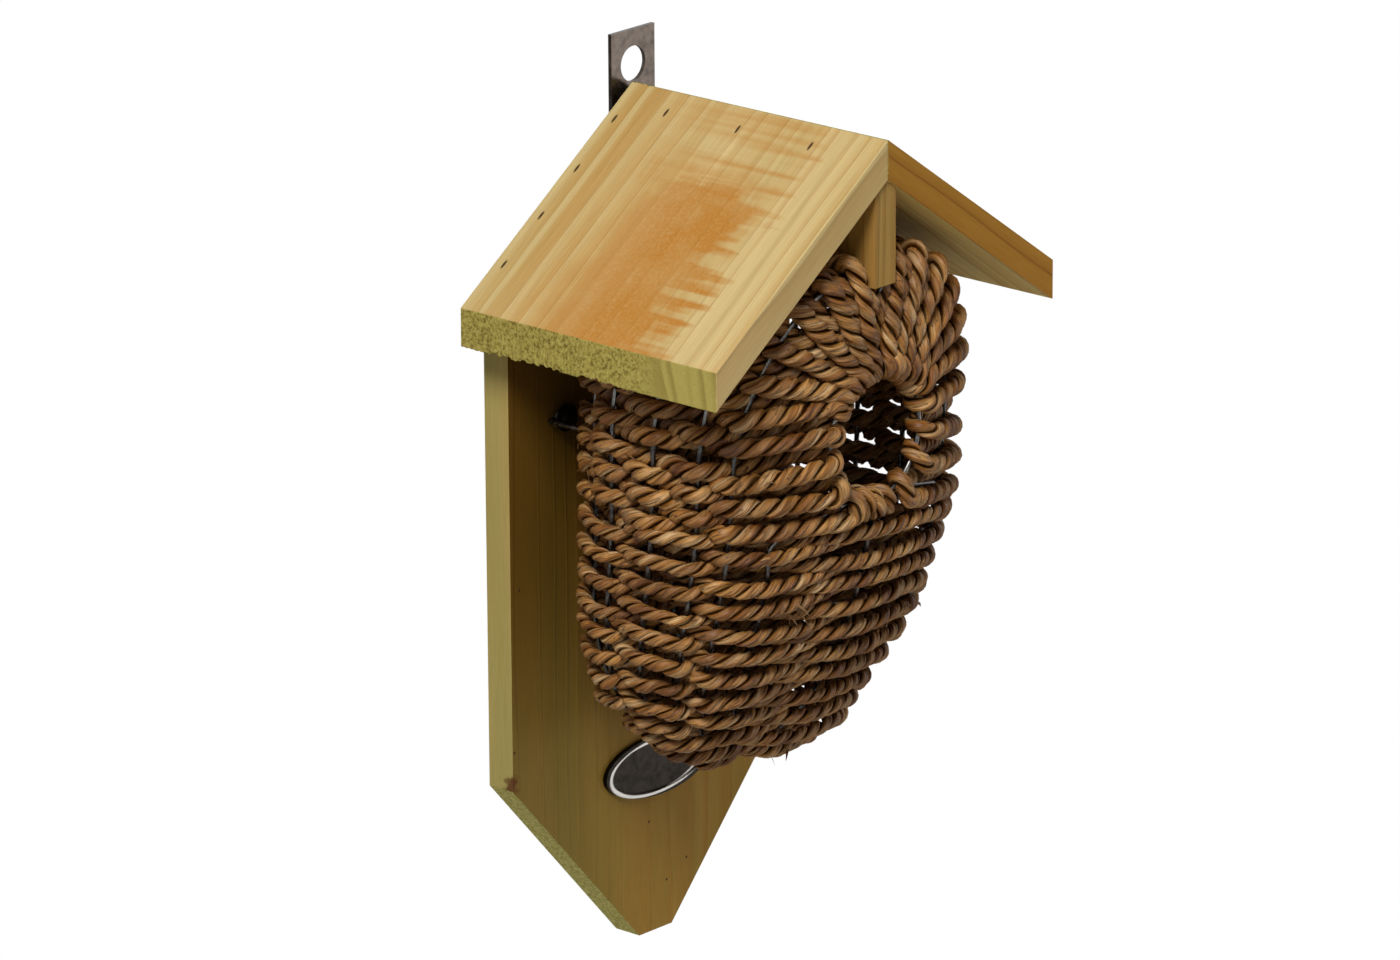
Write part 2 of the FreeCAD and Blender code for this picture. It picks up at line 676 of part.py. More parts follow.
staple_bottom = (size["batten_bottom"] - size["crown_dip"] - size["wire_radius"]
                 - size["staple_radius"] - 3 * TOUCH)
staple_top = size["batten_bottom"] + size["staple_leg"] - 2
staple_points = [
    bench_point(0, size["staple_depth"] + side * size["staple_span"] / 2, z)
    for side, z in ((-1, staple_top), (-1, staple_bottom), (1, staple_bottom), (1, staple_top))]
half_span = size["staple_span"] / 2
staple_path = Part.Wire([
    Part.LineSegment(staple_points[0], staple_points[1] + Vector(0, 0, half_span)).toShape(),
    Part.Arc(staple_points[1] + Vector(0, 0, half_span),
             bench_point(0, size["staple_depth"], staple_bottom),
             staple_points[2] + Vector(0, 0, half_span)).toShape(),
    Part.LineSegment(staple_points[2] + Vector(0, 0, half_span), staple_points[3]).toShape()])
staple_end = Part.Face(Part.Wire([
    Part.Circle(staple_points[0], Vector(0, 0, 1), size["staple_radius"]).toShape()]))
shaped("batten_staple", staple_path.makePipe(staple_end))


# ---------------------------------------------------------------- check and write

doc.recompute()
for obj in doc.Objects:
    if "Invalid" in obj.State or "Error" in obj.State:
        raise RuntimeError(f"{obj.Name} did not compute: {obj.State}")
labels = [obj.Label for obj in sub_parts]
if len(set(labels)) != len(labels) or len(labels) > 60:
    raise RuntimeError(f"{len(labels)} sub-parts, {len(set(labels))} different labels")
os.makedirs("parts", exist_ok=True)
for obj in sub_parts:
    if obj.Shape.isNull() or not obj.Shape.isValid():
        raise RuntimeError(f"{obj.Label} has no valid shape")
for obj in sub_parts:
    obj.Shape.exportStep(f"parts/{obj.Label}.step")
    print(f"{obj.Label}: {len(obj.Shape.Solids)} solid(s), {obj.Shape.Volume:.0f} mm3")
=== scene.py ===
"""A wall-hung birdhouse: a rope nesting pouch woven on a wire frame, under a small pine roof."""
import math
import random

import bmesh
import bpy
import numpy as np
from mathutils import Euler, Matrix, Vector, noise


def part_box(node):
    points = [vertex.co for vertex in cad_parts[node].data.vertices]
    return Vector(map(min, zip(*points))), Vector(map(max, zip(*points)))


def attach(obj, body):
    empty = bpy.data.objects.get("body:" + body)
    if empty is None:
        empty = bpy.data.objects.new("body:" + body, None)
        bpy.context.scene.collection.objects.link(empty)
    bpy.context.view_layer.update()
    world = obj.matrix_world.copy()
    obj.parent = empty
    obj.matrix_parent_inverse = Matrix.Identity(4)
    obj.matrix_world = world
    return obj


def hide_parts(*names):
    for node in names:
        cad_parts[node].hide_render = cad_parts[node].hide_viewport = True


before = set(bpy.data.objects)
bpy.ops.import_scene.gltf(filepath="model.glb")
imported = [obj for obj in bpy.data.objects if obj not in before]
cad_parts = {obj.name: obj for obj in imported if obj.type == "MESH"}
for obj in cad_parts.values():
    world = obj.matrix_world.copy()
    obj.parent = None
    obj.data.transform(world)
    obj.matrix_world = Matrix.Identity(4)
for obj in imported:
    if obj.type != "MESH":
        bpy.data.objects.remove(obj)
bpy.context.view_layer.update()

MM = 0.001
board_low, board_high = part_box("back_board")
BOARD_X = (board_low.x + board_high.x) / 2
BOARD_FACE = board_low.y
FOOT = board_low.z
roof_low, roof_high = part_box("roof_board_left")
ROOF_SLOPE = math.radians(35)


def bench(x, depth, z):
    """A place in mm from the board: to the right, forwards from its face, up from its foot."""
    return Vector((BOARD_X + x * MM, BOARD_FACE - depth * MM, FOOT + z * MM))


# ---------------------------------------------------------------- colours and nodes

def linear(hex_colour):
    """An sRGB hex colour as linear red, green and blue, and an alpha of 1."""
    parts = [int(hex_colour[n:n + 2], 16) / 255 for n in (1, 3, 5)]
    return [p / 12.92 if p <= 0.04045 else ((p + 0.055) / 1.055) ** 2.4 for p in parts] + [1.0]


def add(tree, kind, inputs=None, stops=None, **settings):
    """Add a node with its settings; an input is a number, a colour, or the node that feeds it."""
    made = tree.nodes.new("ShaderNode" + kind)
    for name, value in settings.items():
        setattr(made, name, value)
    if stops:
        elements = made.color_ramp.elements
        while len(elements) < len(stops):
            elements.new(0.5)
        for element, (place, colour) in zip(elements, stops):
            element.position = place
            element.color = linear(colour) if isinstance(colour, str) else [colour] * 3 + [1]
    for socket, value in (inputs or {}).items():
        if isinstance(value, bpy.types.Node):
            value = value.outputs[0]
        if isinstance(value, bpy.types.NodeSocket):
            tree.links.new(value, made.inputs[socket])
        else:
            made.inputs[socket].default_value = value
    return made


def new_material(name, colour):
    """An empty material, with the colour that the viewport shows, and its nodes."""
    made = bpy.data.materials.new(name)
    made.use_nodes = True
    made.node_tree.nodes.clear()
    made.diffuse_color = linear(colour)
    return made, made.node_tree


# ---------------------------------------------------------------- camera, lights, floor

def look_along(azimuth, elevation, roll):
    """The camera's turn, from degrees to the left of the front, above it, and of roll."""
    az, el = math.radians(azimuth), math.radians(elevation)
    back = Vector((-math.sin(az) * math.cos(el), -math.cos(az) * math.cos(el), math.sin(el)))
    right = (-back).cross(Vector((0, 0, 1))).normalized()
    up = right.cross(-back)
    turn = math.radians(roll)
    right, up = (right * math.cos(turn) + up * math.sin(turn),
                 up * math.cos(turn) - right * math.sin(turn))
    return Matrix((right, up, back)).transposed()


lens = bpy.data.cameras.new("camera")
camera = bpy.data.objects.new("camera", lens)
bpy.context.scene.collection.objects.link(camera)
lens.sensor_width = 36
lens.lens = 220.6
lens.clip_end = 50
camera.location = (-2.1019, -1.9051, 0.7618)
camera.rotation_euler = look_along(48.28, 17.82, -0.32).to_euler()
bpy.context.scene.camera = camera
bpy.context.scene.view_settings.view_transform = "Standard"


def lamp(name, towards, distance, size, watts):
    """A soft white studio lamp, aimed at the middle of the birdhouse."""
    middle = Vector((BOARD_X, BOARD_FACE - 0.05, FOOT + 0.18))
    light = bpy.data.lights.new(name, "AREA")
    light.shape = "DISK"
    light.size = size
    light.energy = watts
    holder = bpy.data.objects.new(name, light)
    bpy.context.scene.collection.objects.link(holder)
    aim = Vector(towards).normalized()
    holder.location = middle + aim * distance
    holder.rotation_euler = aim.to_track_quat("Z", "Y").to_euler()


# The studio's white surroundings: seen as white, but giving only a little light.
world = bpy.data.worlds.new("studio")
bpy.context.scene.world = world
world.use_nodes = True
tree = world.node_tree
tree.nodes.clear()
rays = add(tree, "LightPath")
seen = add(tree, "Math", {0: rays.outputs["Is Camera Ray"], 1: rays.outputs["Is Glossy Ray"]},
           operation="MAXIMUM")
seen = add(tree, "Math", {0: seen, 1: rays.outputs["Is Transmission Ray"]}, operation="MAXIMUM")
ambient = add(tree, "Background", {"Color": linear("#FFFFFF"), "Strength": 0.14})
white = add(tree, "Background", {"Color": linear("#FFFFFF"), "Strength": 1.0})
both = add(tree, "MixShader", {0: seen, 1: ambient, 2: white})
add(tree, "OutputWorld", {"Surface": both})

lamp("key_lamp", (-0.62, -0.34, 0.72), 1.6, 0.6, 21.5)
lamp("front_fill", (-0.80, -0.60, 0.05), 2.0, 1.0, 1.0)
lamp("right_fill", (0.70, -0.62, -0.30), 2.0, 1.0, 9.0)

# Matt painted studio floor, pale and seen as white, half a metre under the foot.
floor_finish, tree = new_material("studio_floor", "#F2F2F2")
rays = add(tree, "LightPath")
coords = add(tree, "TexCoord")
grain = add(tree, "TexNoise", {"Vector": coords.outputs["Object"], "Scale": 40.0})
tone = add(tree, "ValToRGB", {"Fac": grain}, stops=[(0.3, "#EFEFEF"), (0.7, "#F6F6F6")])
matt = add(tree, "BsdfDiffuse", {"Color": tone})
bright = add(tree, "Emission", {"Color": linear("#FFFFFF"), "Strength": 1.0})
shown = add(tree, "MixShader", {0: rays.outputs["Is Camera Ray"], 1: matt, 2: bright})
add(tree, "OutputMaterial", {"Surface": shown})

bpy.ops.object.select_all(action="DESELECT")
bpy.ops.mesh.primitive_plane_add(size=12, location=(0, 0, FOOT - 0.5))
floor = bpy.context.object
floor.name = "floor"
floor.data.materials.append(floor_finish)


# ---------------------------------------------------------------- pine

WANDER = 6           # mm that the fibres stray to one side and back


def year_rings(tree, board, slow, pith, ring):
    """How warm the wood is through each year's growth, and the thin line that ends the year."""
    wander = add(tree, "TexNoise", {"Vector": slow, "Scale": 1.0, "Detail": 1.0, "Roughness": 0.5})
    shift = [-(place + WANDER / 2) * MM for place in pith]
    pushed = add(tree, "VectorMath", {0: wander.outputs["Color"], 1: (0, WANDER * MM, WANDER * MM),
                                      2: (0, *shift)}, operation="MULTIPLY_ADD")
    bent = add(tree, "VectorMath", {0: board, 1: pushed}, operation="ADD")
    flat = add(tree, "VectorMath", {0: bent, 1: (0, 1, 1)}, operation="MULTIPLY")
    radius = add(tree, "VectorMath", {0: flat}, operation="LENGTH")
    count = add(tree, "Math", {0: radius.outputs["Value"], 1: 1 / (ring * MM)},
                operation="MULTIPLY")
    # good and bad years: the rings are not evenly wide
    years = add(tree, "TexNoise", {"W": count, "Scale": 0.7, "Detail": 1.0}, noise_dimensions="1D")
    uneven = add(tree, "Math", {0: years, 1: 1.8, 2: count}, operation="MULTIPLY_ADD")
    year = add(tree, "Math", {0: uneven}, operation="FRACT")
    # through the year the wood goes from pale to a warm tan, then a thin brown line ends it
    warm = add(tree, "ValToRGB", {"Fac": year}, stops=[(0.0, 0.05), (0.30, 0.1), (0.62, 0.8),
                                                       (0.85, 1.0), (1.0, 0.05)])
    line = add(tree, "ValToRGB", {"Fac": year}, stops=[(0.0, 0.25), (0.05, 0.0), (0.84, 0.0),
                                                       (0.95, 1.0), (1.0, 0.25)])
    return warm, line


def heart_flame(tree, board, speck, colour, along, across):
    """Resin-rich heart wood: an orange patch, soft on its wall side and combed on its front side
    by the planer's chatter, bars 4 mm apart across the grain. It lies below the line along the
    board, and between the two lines across it, in mm."""
    place = add(tree, "SeparateXYZ", {0: board})
    chatter_map = add(tree, "Mapping", {"Vector": board, "Scale": (230, 9, 9)})
    chatter = add(tree, "TexNoise", {"Vector": chatter_map, "Scale": 1.0, "Detail": 1.0})
    bars = add(tree, "MapRange", {"Value": chatter, "From Min": 0.40, "From Max": 0.62})
    ragged_map = add(tree, "Mapping", {"Vector": board, "Scale": (55, 70, 70)})
    ragged = add(tree, "TexNoise", {"Vector": ragged_map, "Scale": 1.0, "Detail": 4.0,
                                    "Roughness": 0.6})
    combed = add(tree, "Math", {0: bars, 1: 13 * MM, 2: place.outputs["Y"]},
                 operation="MULTIPLY_ADD")
    combed = add(tree, "Math", {0: ragged, 1: 30 * MM, 2: combed}, operation="MULTIPLY_ADD")
    front = add(tree, "MapRange", {"Value": combed, "From Min": (across[0] + 19) * MM,
                                   "From Max": (across[0] + 31) * MM})
    frayed = add(tree, "Math", {0: ragged, 1: 34 * MM, 2: place.outputs["Y"]},
                 operation="MULTIPLY_ADD")
    back = add(tree, "MapRange", {"Value": frayed, "From Min": (across[1] - 12) * MM,
                                  "From Max": (across[1] + 30) * MM, "To Min": 1.0,
                                  "To Max": 0.0}, interpolation_type="SMOOTHSTEP")
    rise = add(tree, "Math", {0: ragged, 1: 26 * MM, 2: place.outputs["X"]},
               operation="MULTIPLY_ADD")
    rise = add(tree, "Math", {0: bars, 1: 6 * MM, 2: rise}, operation="MULTIPLY_ADD")
    top = add(tree, "MapRange", {"Value": rise, "From Min": (along + 4) * MM,
                                 "From Max": (along + 20) * MM, "To Min": 1.0, "To Max": 0.0},
              interpolation_type="SMOOTHSTEP")
    sides = add(tree, "Math", {0: front, 1: back}, operation="MULTIPLY")
    body = add(tree, "Math", {0: sides, 1: top}, operation="MULTIPLY")
    # fainter bars of the same chatter go on towards the ridge
    faint = add(tree, "Math", {0: sides, 1: bars}, operation="MULTIPLY")
    faint = add(tree, "Math", {0: faint, 1: 0.66}, operation="MULTIPLY")
    share = add(tree, "Math", {0: body, 1: faint}, operation="MAXIMUM")
    mottle = add(tree, "ValToRGB", {"Fac": speck}, stops=[(0.34, 0.80), (0.56, 1.0)])
    share = add(tree, "Math", {0: share, 1: mottle}, operation="MULTIPLY")
    veined = add(tree, "MapRange", {"Value": ragged, "From Min": 0.3, "From Max": 0.6,
                                    "To Min": 0.72, "To Max": 1.02})
    share = add(tree, "Math", {0: share, 1: veined}, operation="MULTIPLY", use_clamp=True)
    return add(tree, "Mix", {0: share, 6: colour, 7: linear("#BA7E34")},
               data_type="RGBA").outputs[2]


def browned_and_shaded_face(tree, coords, colour, way, foot_tone, roof_shade_tone, lit_from_right):
    """The face that looks this way took more of the treatment and stayed browner; towards the roof
    it is darker, painted shade. A board with a warm side is lighter and redder to the right and
    darker to the left there: painted light from the right front and painted shade under the pouch."""
    looks = add(tree, "VectorMath", {0: coords.outputs["Normal"], 1: way},
                operation="DOT_PRODUCT")
    on_face = add(tree, "MapRange", {"Value": looks.outputs["Value"], "From Min": 0.8,
                                     "From Max": 0.95})
    place = add(tree, "SeparateXYZ", {0: coords.outputs["Object"]})
    # painted shade: the face darkens towards the roof above it
    roof_shade_share = add(tree, "MapRange", {"Value": place.outputs["Z"], "From Min": FOOT + 30 * MM,
                                       "From Max": FOOT + 170 * MM},
                    interpolation_type="SMOOTHSTEP")
    wear_and_shade = add(tree, "Mix", {0: roof_shade_share, 6: linear(foot_tone), 7: linear(roof_shade_tone)},
               data_type="RGBA")
    # painted light from the right front and painted shade under the pouch: lighter and redder to
    # the right, darker to the left
    if lit_from_right:
        right = add(tree, "MapRange", {"Value": place.outputs["X"],
                                       "From Min": BOARD_X - 50 * MM,
                                       "From Max": BOARD_X + 40 * MM})
        sides = add(tree, "Mix", {0: right, 6: (0.78, 0.74, 0.66, 1.0),
                                  7: (1.54, 1.38, 1.30, 1.0)}, data_type="RGBA")
        wear_and_shade = add(tree, "Mix", {0: 1.0, 6: wear_and_shade.outputs[2], 7: sides.outputs[2]},
                   data_type="RGBA", blend_type="MULTIPLY")
    return add(tree, "Mix", {0: on_face, 6: colour, 7: wear_and_shade.outputs[2]}, data_type="RGBA",
               blend_type="MULTIPLY").outputs[2]


def dark_mark(tree, board, colour, spot, mark_size):
    """A slit that a brad's head tore in the fibres, or a pin knot; mark_size is its half sizes in
    mm, along the grain, across it and in depth."""
    away = add(tree, "VectorMath", {0: board, 1: spot}, operation="SUBTRACT")
    away = add(tree, "VectorMath", {0: away, 1: [1 / (half * MM) for half in mark_size]},
               operation="MULTIPLY")
    away = add(tree, "VectorMath", {0: away}, operation="LENGTH")
    inside = add(tree, "MapRange", {"Value": away.outputs["Value"], "From Min": 0.75,
                                    "From Max": 1.15, "To Min": 0.92, "To Max": 0.0})
    return add(tree, "Mix", {0: inside, 6: colour, 7: linear("#2A1A08")},
               data_type="RGBA").outputs[2]


def knot_stain(tree, coords, colour, spot, reach):
    """Brown bleed round a pin knot, which fades out at its reach, in mm."""
    middle = add(tree, "VectorMath", {0: coords.outputs["Object"], 1: spot},
                 operation="DISTANCE")
    blot = add(tree, "TexNoise", {"Vector": coords.outputs["Object"], "Scale": 260.0,
                                  "Detail": 3.0})
    ragged = add(tree, "Math", {0: blot, 1: 10 * MM, 2: middle.outputs["Value"]},
                 operation="MULTIPLY_ADD")
    bleed = add(tree, "MapRange", {"Value": ragged, "From Min": 6 * MM, "From Max": reach * MM,
                                   "To Min": 0.9, "To Max": 0.0},
                interpolation_type="SMOOTHSTEP")
    return add(tree, "Mix", {0: bleed, 6: colour, 7: linear("#5A2E14")},
               data_type="RGBA").outputs[2]


def sawn_end(tree, coords, board, warm, fur, tones, torn):
    """Colour of a sawn end: part of the cut is torn and speckled, the rest is clean and shows the
    rings. torn is where the tear starts, in mm across the board, or None for a patchy cut."""
    tone = add(tree, "ValToRGB", {"Fac": fur}, stops=list(zip((0.38, 0.49, 0.62), tones)))
    zone = add(tree, "TexNoise", {"Vector": coords.outputs["Object"], "Scale": 45.0,
                                  "Detail": 3.0})
    if torn is None:
        rough = add(tree, "ValToRGB", {"Fac": zone}, stops=[(0.44, 0.25), (0.56, 1.0)])
    else:
        place = add(tree, "SeparateXYZ", {0: board})
        zone = add(tree, "Math", {0: zone, 1: 30 * MM, 2: place.outputs["Y"]},
                   operation="MULTIPLY_ADD")
        rough = add(tree, "MapRange", {"Value": zone, "From Min": (torn - 5) * MM,
                                       "From Max": (torn + 9) * MM, "To Min": 0.1,
                                       "To Max": 1.0})
    tone = add(tree, "Mix", {0: rough, 6: linear(tones[2]), 7: tone}, data_type="RGBA")
    clean = add(tree, "Math", {0: 1.05, 1: rough}, operation="SUBTRACT")
    rings = add(tree, "Math", {0: warm, 1: clean}, operation="MULTIPLY")
    rings = add(tree, "Math", {0: rings, 1: 0.6}, operation="MULTIPLY")
    return add(tree, "Mix", {0: rings, 6: tone.outputs[2], 7: linear("#7F6B2C")},
               data_type="RGBA").outputs[2]


def pine(name, axis, turn, pith, ring, tones, end_tones, green=0.4, lines=0.4, bands=1.5,
         warm_side=None, flame=None, face=None, marks=(), mark_size=None, stain=None, torn=None):
    """Pressure-treated planed pine: straw, with tan bands, thin brown lines and green clouds.

    axis is the way of the grain, which the turn brings to X; pith is where the middle of the tree
    lay, in mm, across the board's width and thickness, and ring is a year's growth in mm. tones
    are early wood pale and dark, late-wood line and warm band; end_tones go from dark to pale.
    green, lines and bands are how strong the clouds, the lines and the warm bands are. The rest
    is what only some boards have; warm_side is where its warm side starts, in mm to the right."""
    made, tree = new_material(name, tones[0])
    coords = add(tree, "TexCoord")
    board = add(tree, "Mapping", {"Vector": coords.outputs["Object"], "Rotation": turn})
    # slow wander of the fibres, about one wave in 120 mm along the grain
    slow = add(tree, "Mapping", {"Vector": board, "Scale": (8, 40, 40)})
    warm, line = year_rings(tree, board, slow, pith, ring)
    patchy = add(tree, "TexNoise", {"Vector": slow, "Scale": 0.6, "Detail": 1.0})
    strength = add(tree, "MapRange", {"Value": patchy, "From Min": 0.3, "From Max": 0.7,
                                      "To Min": 0.15 * bands, "To Max": 0.65 * bands})
    if warm_side:
        # the heart side of the board is the warm one
        place = add(tree, "SeparateXYZ", {0: coords.outputs["Object"]})
        warm_part = add(tree, "MapRange", {"Value": place.outputs["X"],
                                           "From Min": BOARD_X + warm_side[0] * MM,
                                           "From Max": BOARD_X + warm_side[1] * MM,
                                           "To Min": 0.15, "To Max": 1.0})
        strength = add(tree, "Math", {0: strength, 1: warm_part}, operation="MULTIPLY")
    warm_share = add(tree, "Math", {0: warm, 1: strength}, operation="MULTIPLY", use_clamp=True)
    line_share = add(tree, "Math", {0: line, 1: lines}, operation="MULTIPLY")
    broad_map = add(tree, "Mapping", {"Vector": board, "Scale": (4, 55, 55)})
    broad = add(tree, "TexNoise", {"Vector": broad_map, "Scale": 1.0, "Detail": 3.0})
    tone = add(tree, "ValToRGB", {"Fac": broad}, stops=[(0.35, tones[0]), (0.62, tones[1])])
    warmed = add(tree, "Mix", {0: warm_share, 6: tone, 7: linear(tones[3])}, data_type="RGBA")
    ringed = add(tree, "Mix", {0: line_share, 6: warmed.outputs[2], 7: linear(tones[2])},
                 data_type="RGBA")
    # fibres about 0.4 mm across and 20 mm long, and pores as fine specks
    fine = add(tree, "Mapping", {"Vector": board, "Scale": (60, 2400, 2400)})
    fibres = add(tree, "TexNoise", {"Vector": fine, "Scale": 1.0, "Detail": 2.0, "Roughness": 0.6})
    speck = add(tree, "TexNoise", {"Vector": coords.outputs["Object"], "Scale": 900.0,
                                   "Detail": 2.0})
    streak = add(tree, "ValToRGB", {"Fac": fibres}, stops=[(0.30, 0.86), (0.62, 1.0)])
    grained = add(tree, "Mix", {0: 1.0, 6: ringed.outputs[2], 7: streak}, data_type="RGBA",
                  blend_type="MULTIPLY")
    # salts of the pressure treatment leave green clouds, 40 to 80 mm across
    cloud = add(tree, "TexNoise", {"Vector": broad_map, "Scale": 0.7, "Detail": 2.0})
    clouded = add(tree, "ValToRGB", {"Fac": cloud}, stops=[(0.40, 0.0), (0.64, green)])
    colour = add(tree, "Mix", {0: clouded, 6: grained.outputs[2], 7: linear("#8F9150")},
                 data_type="RGBA").outputs[2]
    if flame:
        colour = heart_flame(tree, board, speck, colour, *flame)
    if face:
        # the face that looks the given way: browner, with painted shade towards the roof where its
        # two tones differ, and on a board with a warm side painted light from the right front
        colour = browned_and_shaded_face(tree, coords, colour, *face, lit_from_right=bool(warm_side))
    for spot in marks:
        colour = dark_mark(tree, board, colour, spot, mark_size)
    if stain:
        colour = knot_stain(tree, coords, colour, *stain)
    # sawn ends: cut tubes of the wood, greener from the treatment, furred where the saw tore
    facing_end = add(tree, "VectorMath", {0: coords.outputs["Normal"], 1: axis},
                     operation="DOT_PRODUCT")
    toward = add(tree, "Math", {0: facing_end.outputs["Value"]}, operation="ABSOLUTE")
    is_end = add(tree, "MapRange", {"Value": toward, "From Min": 0.45, "From Max": 0.55})
    fur = add(tree, "TexNoise", {"Vector": coords.outputs["Object"], "Scale": 850.0,
                                 "Detail": 5.0, "Roughness": 0.7})
    end_colour = sawn_end(tree, coords, board, warm, fur, end_tones, torn)
    colour = add(tree, "Mix", {0: is_end, 6: colour, 7: end_colour}, data_type="RGBA").outputs[2]
    # planed surface: late wood stands a hair proud, fibres lie in fine furrows
    relief = add(tree, "Math", {0: fibres, 1: 0.5, 2: line}, operation="MULTIPLY_ADD")
    grit = add(tree, "Math", {0: fur, 1: 3.0}, operation="MULTIPLY")
    height = add(tree, "Mix", {0: is_end, 2: relief, 3: grit})
    bump = add(tree, "Bump", {"Strength": 0.35, "Distance": 0.4 * MM, "Height": height})
    gloss = add(tree, "ValToRGB", {"Fac": fibres}, stops=[(0.3, 0.74), (0.7, 0.62)])
    skin = add(tree, "BsdfPrincipled", {"Base Color": colour, "Roughness": gloss, "Normal": bump,
                                        "IOR": 1.5, "Specular IOR Level": 0.14})
    add(tree, "OutputMaterial", {"Surface": skin})
    return made


UPRIGHT = (0.0, math.radians(90), 0.0)
UPWARDS, FORWARDS = (0, 0, 1), (0, -1, 0)


def brad_marks(low_x, high_x):
    """Middles of the brads on one side of the ridge, as the turned board sees them."""
    turned = Euler((0.0, ROOF_SLOPE, 0.0)).to_matrix()
    heads = {}
    for node in ("roof_brads_board", "roof_brads_ridge"):
        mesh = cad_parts[node].data
        for corner in mesh.vertices:
            if low_x < corner.co.x < high_x:
                # corners are gathered in squares of 4 mm, which is wider than a brad
                spot = turned @ corner.co
                heads.setdefault((round(spot.x * 250), round(spot.y * 250)), []).append(spot)
    marks = []
    for spots in heads.values():
        top = max(spot.z for spot in spots)
        ends = [spot for spot in spots if spot.z > top - 0.5 * MM]
        middle = sum(ends, Vector()) / len(ends)
        if all((middle - other).length > 4 * MM for other in marks):
            marks.append(middle)
    return marks


BRAD_MARKS = brad_marks(roof_low.x, BOARD_X - 3 * MM)
SLOPE_COS, SLOPE_SIN = math.cos(ROOF_SLOPE), math.sin(ROOF_SLOPE)
# the flame starts this far below the ridge, and lies between these two lines in front of the wall
FLAME = (-34.0, (-93.0, -34.0))
OLIVE_ENDS = ("#7A6E30", "#AAA052", "#C2B86C")
PINS = [Euler(UPRIGHT).to_matrix() @ bench(x, 0, z) for x, z in
        ((-71.5, 85), (-68, 143), (-3, 41), (16.5, 22.5), (6, 17))]
TORN_ALL_OVER = -999   # the tear starts beyond the board's side
# the board's front face is browner, and painted darker towards the roof as shade
board_pine = pine("planed_pine_board", UPWARDS, UPRIGHT, (-40, 260), 11.0,
                  ("#B29C5A", "#BEA866", "#84622E", "#B0803A"),
                  ("#8E8238", "#C2B65E", "#D6CC7C"), green=0.45, lines=0.08, bands=1.3,
                  warm_side=(-20, -4), face=(FORWARDS, "#D9CAA3", "#A88C54"),
                  marks=PINS, mark_size=(0.5, 0.5, 0.5), stain=(bench(-72.0, -1.5, 73.0), 9),
                  torn=TORN_ALL_OVER)
batten_pine = pine("planed_pine_batten", UPWARDS, UPRIGHT, (-60, 90), 4.0,
                   ("#A67A38", "#B8904C", "#774E1E", "#9E662A"), OLIVE_ENDS, green=0.25)
left_pine = pine("planed_pine_left_roof", (SLOPE_COS, 0, SLOPE_SIN), (0.0, ROOF_SLOPE, 0.0),
                 (200, -90), 8.5, ("#D0B276", "#DABF85", "#B2874C", "#C2934F"),
                 ("#6E6028", "#A39246", "#B8A85A"), green=0.12, lines=0.3, bands=1.45,
                 flame=FLAME, marks=BRAD_MARKS, mark_size=(2.08, 0.59, 2.0), torn=-78)
right_pine = pine("planed_pine_right_roof", (SLOPE_COS, 0, -SLOPE_SIN), (0.0, -ROOF_SLOPE, 0.0),
                  (-150, 60), 5.5, ("#EAC975", "#F0D386", "#B68638", "#D6A456"), OLIVE_ENDS,
                  green=0.15, lines=0.8, bands=1.6, face=(FORWARDS, "#C29E5E", "#C29E5E"))


# ---------------------------------------------------------------- metal

def metal(name, dark, pale, roughness, pitting, metallic=1.0, depth=0.2 * MM, rim=None):
    """Metal with a mottled skin; pitting is the size of its marks in mm, depth in metres. rim is an
    oval with a worn bright edge, as (middle, half sizes)."""
    made, tree = new_material(name, dark)
    coords = add(tree, "TexCoord")
    marks = add(tree, "TexNoise", {"Vector": coords.outputs["Object"], "Scale": 1 / (pitting * MM),
                                   "Detail": 4.0, "Roughness": 0.6})
    tone = add(tree, "ValToRGB", {"Fac": marks}, stops=[(0.35, dark), (0.65, pale)])
    if rim:
        away = add(tree, "VectorMath", {0: coords.outputs["Object"], 1: rim[0]},
                   operation="SUBTRACT")
        away = add(tree, "VectorMath", {0: away, 1: [1 / half for half in rim[1]]},
                   operation="MULTIPLY")
        away = add(tree, "VectorMath", {0: away}, operation="LENGTH")
        wear_and_shade = add(tree, "ValToRGB", {"Fac": away.outputs["Value"]},
                   stops=[(0.84, 0.0), (0.865, 1.0), (0.92, 1.0), (0.95, 0.0)])
        tone = add(tree, "Mix", {0: wear_and_shade, 6: tone, 7: linear("#BFBBB5")},
                   data_type="RGBA").outputs[2]
    rough = add(tree, "MapRange", {"Value": marks.outputs[0], "To Min": roughness - 0.1,
                                   "To Max": roughness + 0.12})
    bump = add(tree, "Bump", {"Strength": 0.3, "Distance": depth, "Height": marks.outputs[0]})
    skin = add(tree, "BsdfPrincipled", {"Base Color": tone, "Roughness": rough, "Normal": bump,
                                        "Metallic": metallic})
    add(tree, "OutputMaterial", {"Surface": skin})
    return made


# Drawn mild-steel wire, bare: grey, with a dull sheen along its length.
drawn_wire = metal("drawn_steel_wire", "#4E4D4B", "#7C7A77", 0.28, 1.5)
# Hot-rolled strip with its blue-brown scale left on and oiled.
oiled_strip = metal("oiled_steel_strip", "#352D27", "#5A5048", 0.28, 4.0, metallic=0.85)
# Blackened fixings, dull.
black_fixings = metal("blackened_screws", "#1E1B18", "#3A332C", 0.5, 0.8)
# Cast zinc alloy: dark antiqued field, and a rim rubbed bright.
badge_low, badge_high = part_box("oval_badge")
badge_half = (badge_high - badge_low) / 2
cast_badge = metal("cast_zinc_badge", "#1D1916", "#2F2A25", 0.30, 3.0, depth=0.1 * MM,
                   rim=((badge_low + badge_high) / 2, (badge_half.x, 1.0, badge_half.z)))

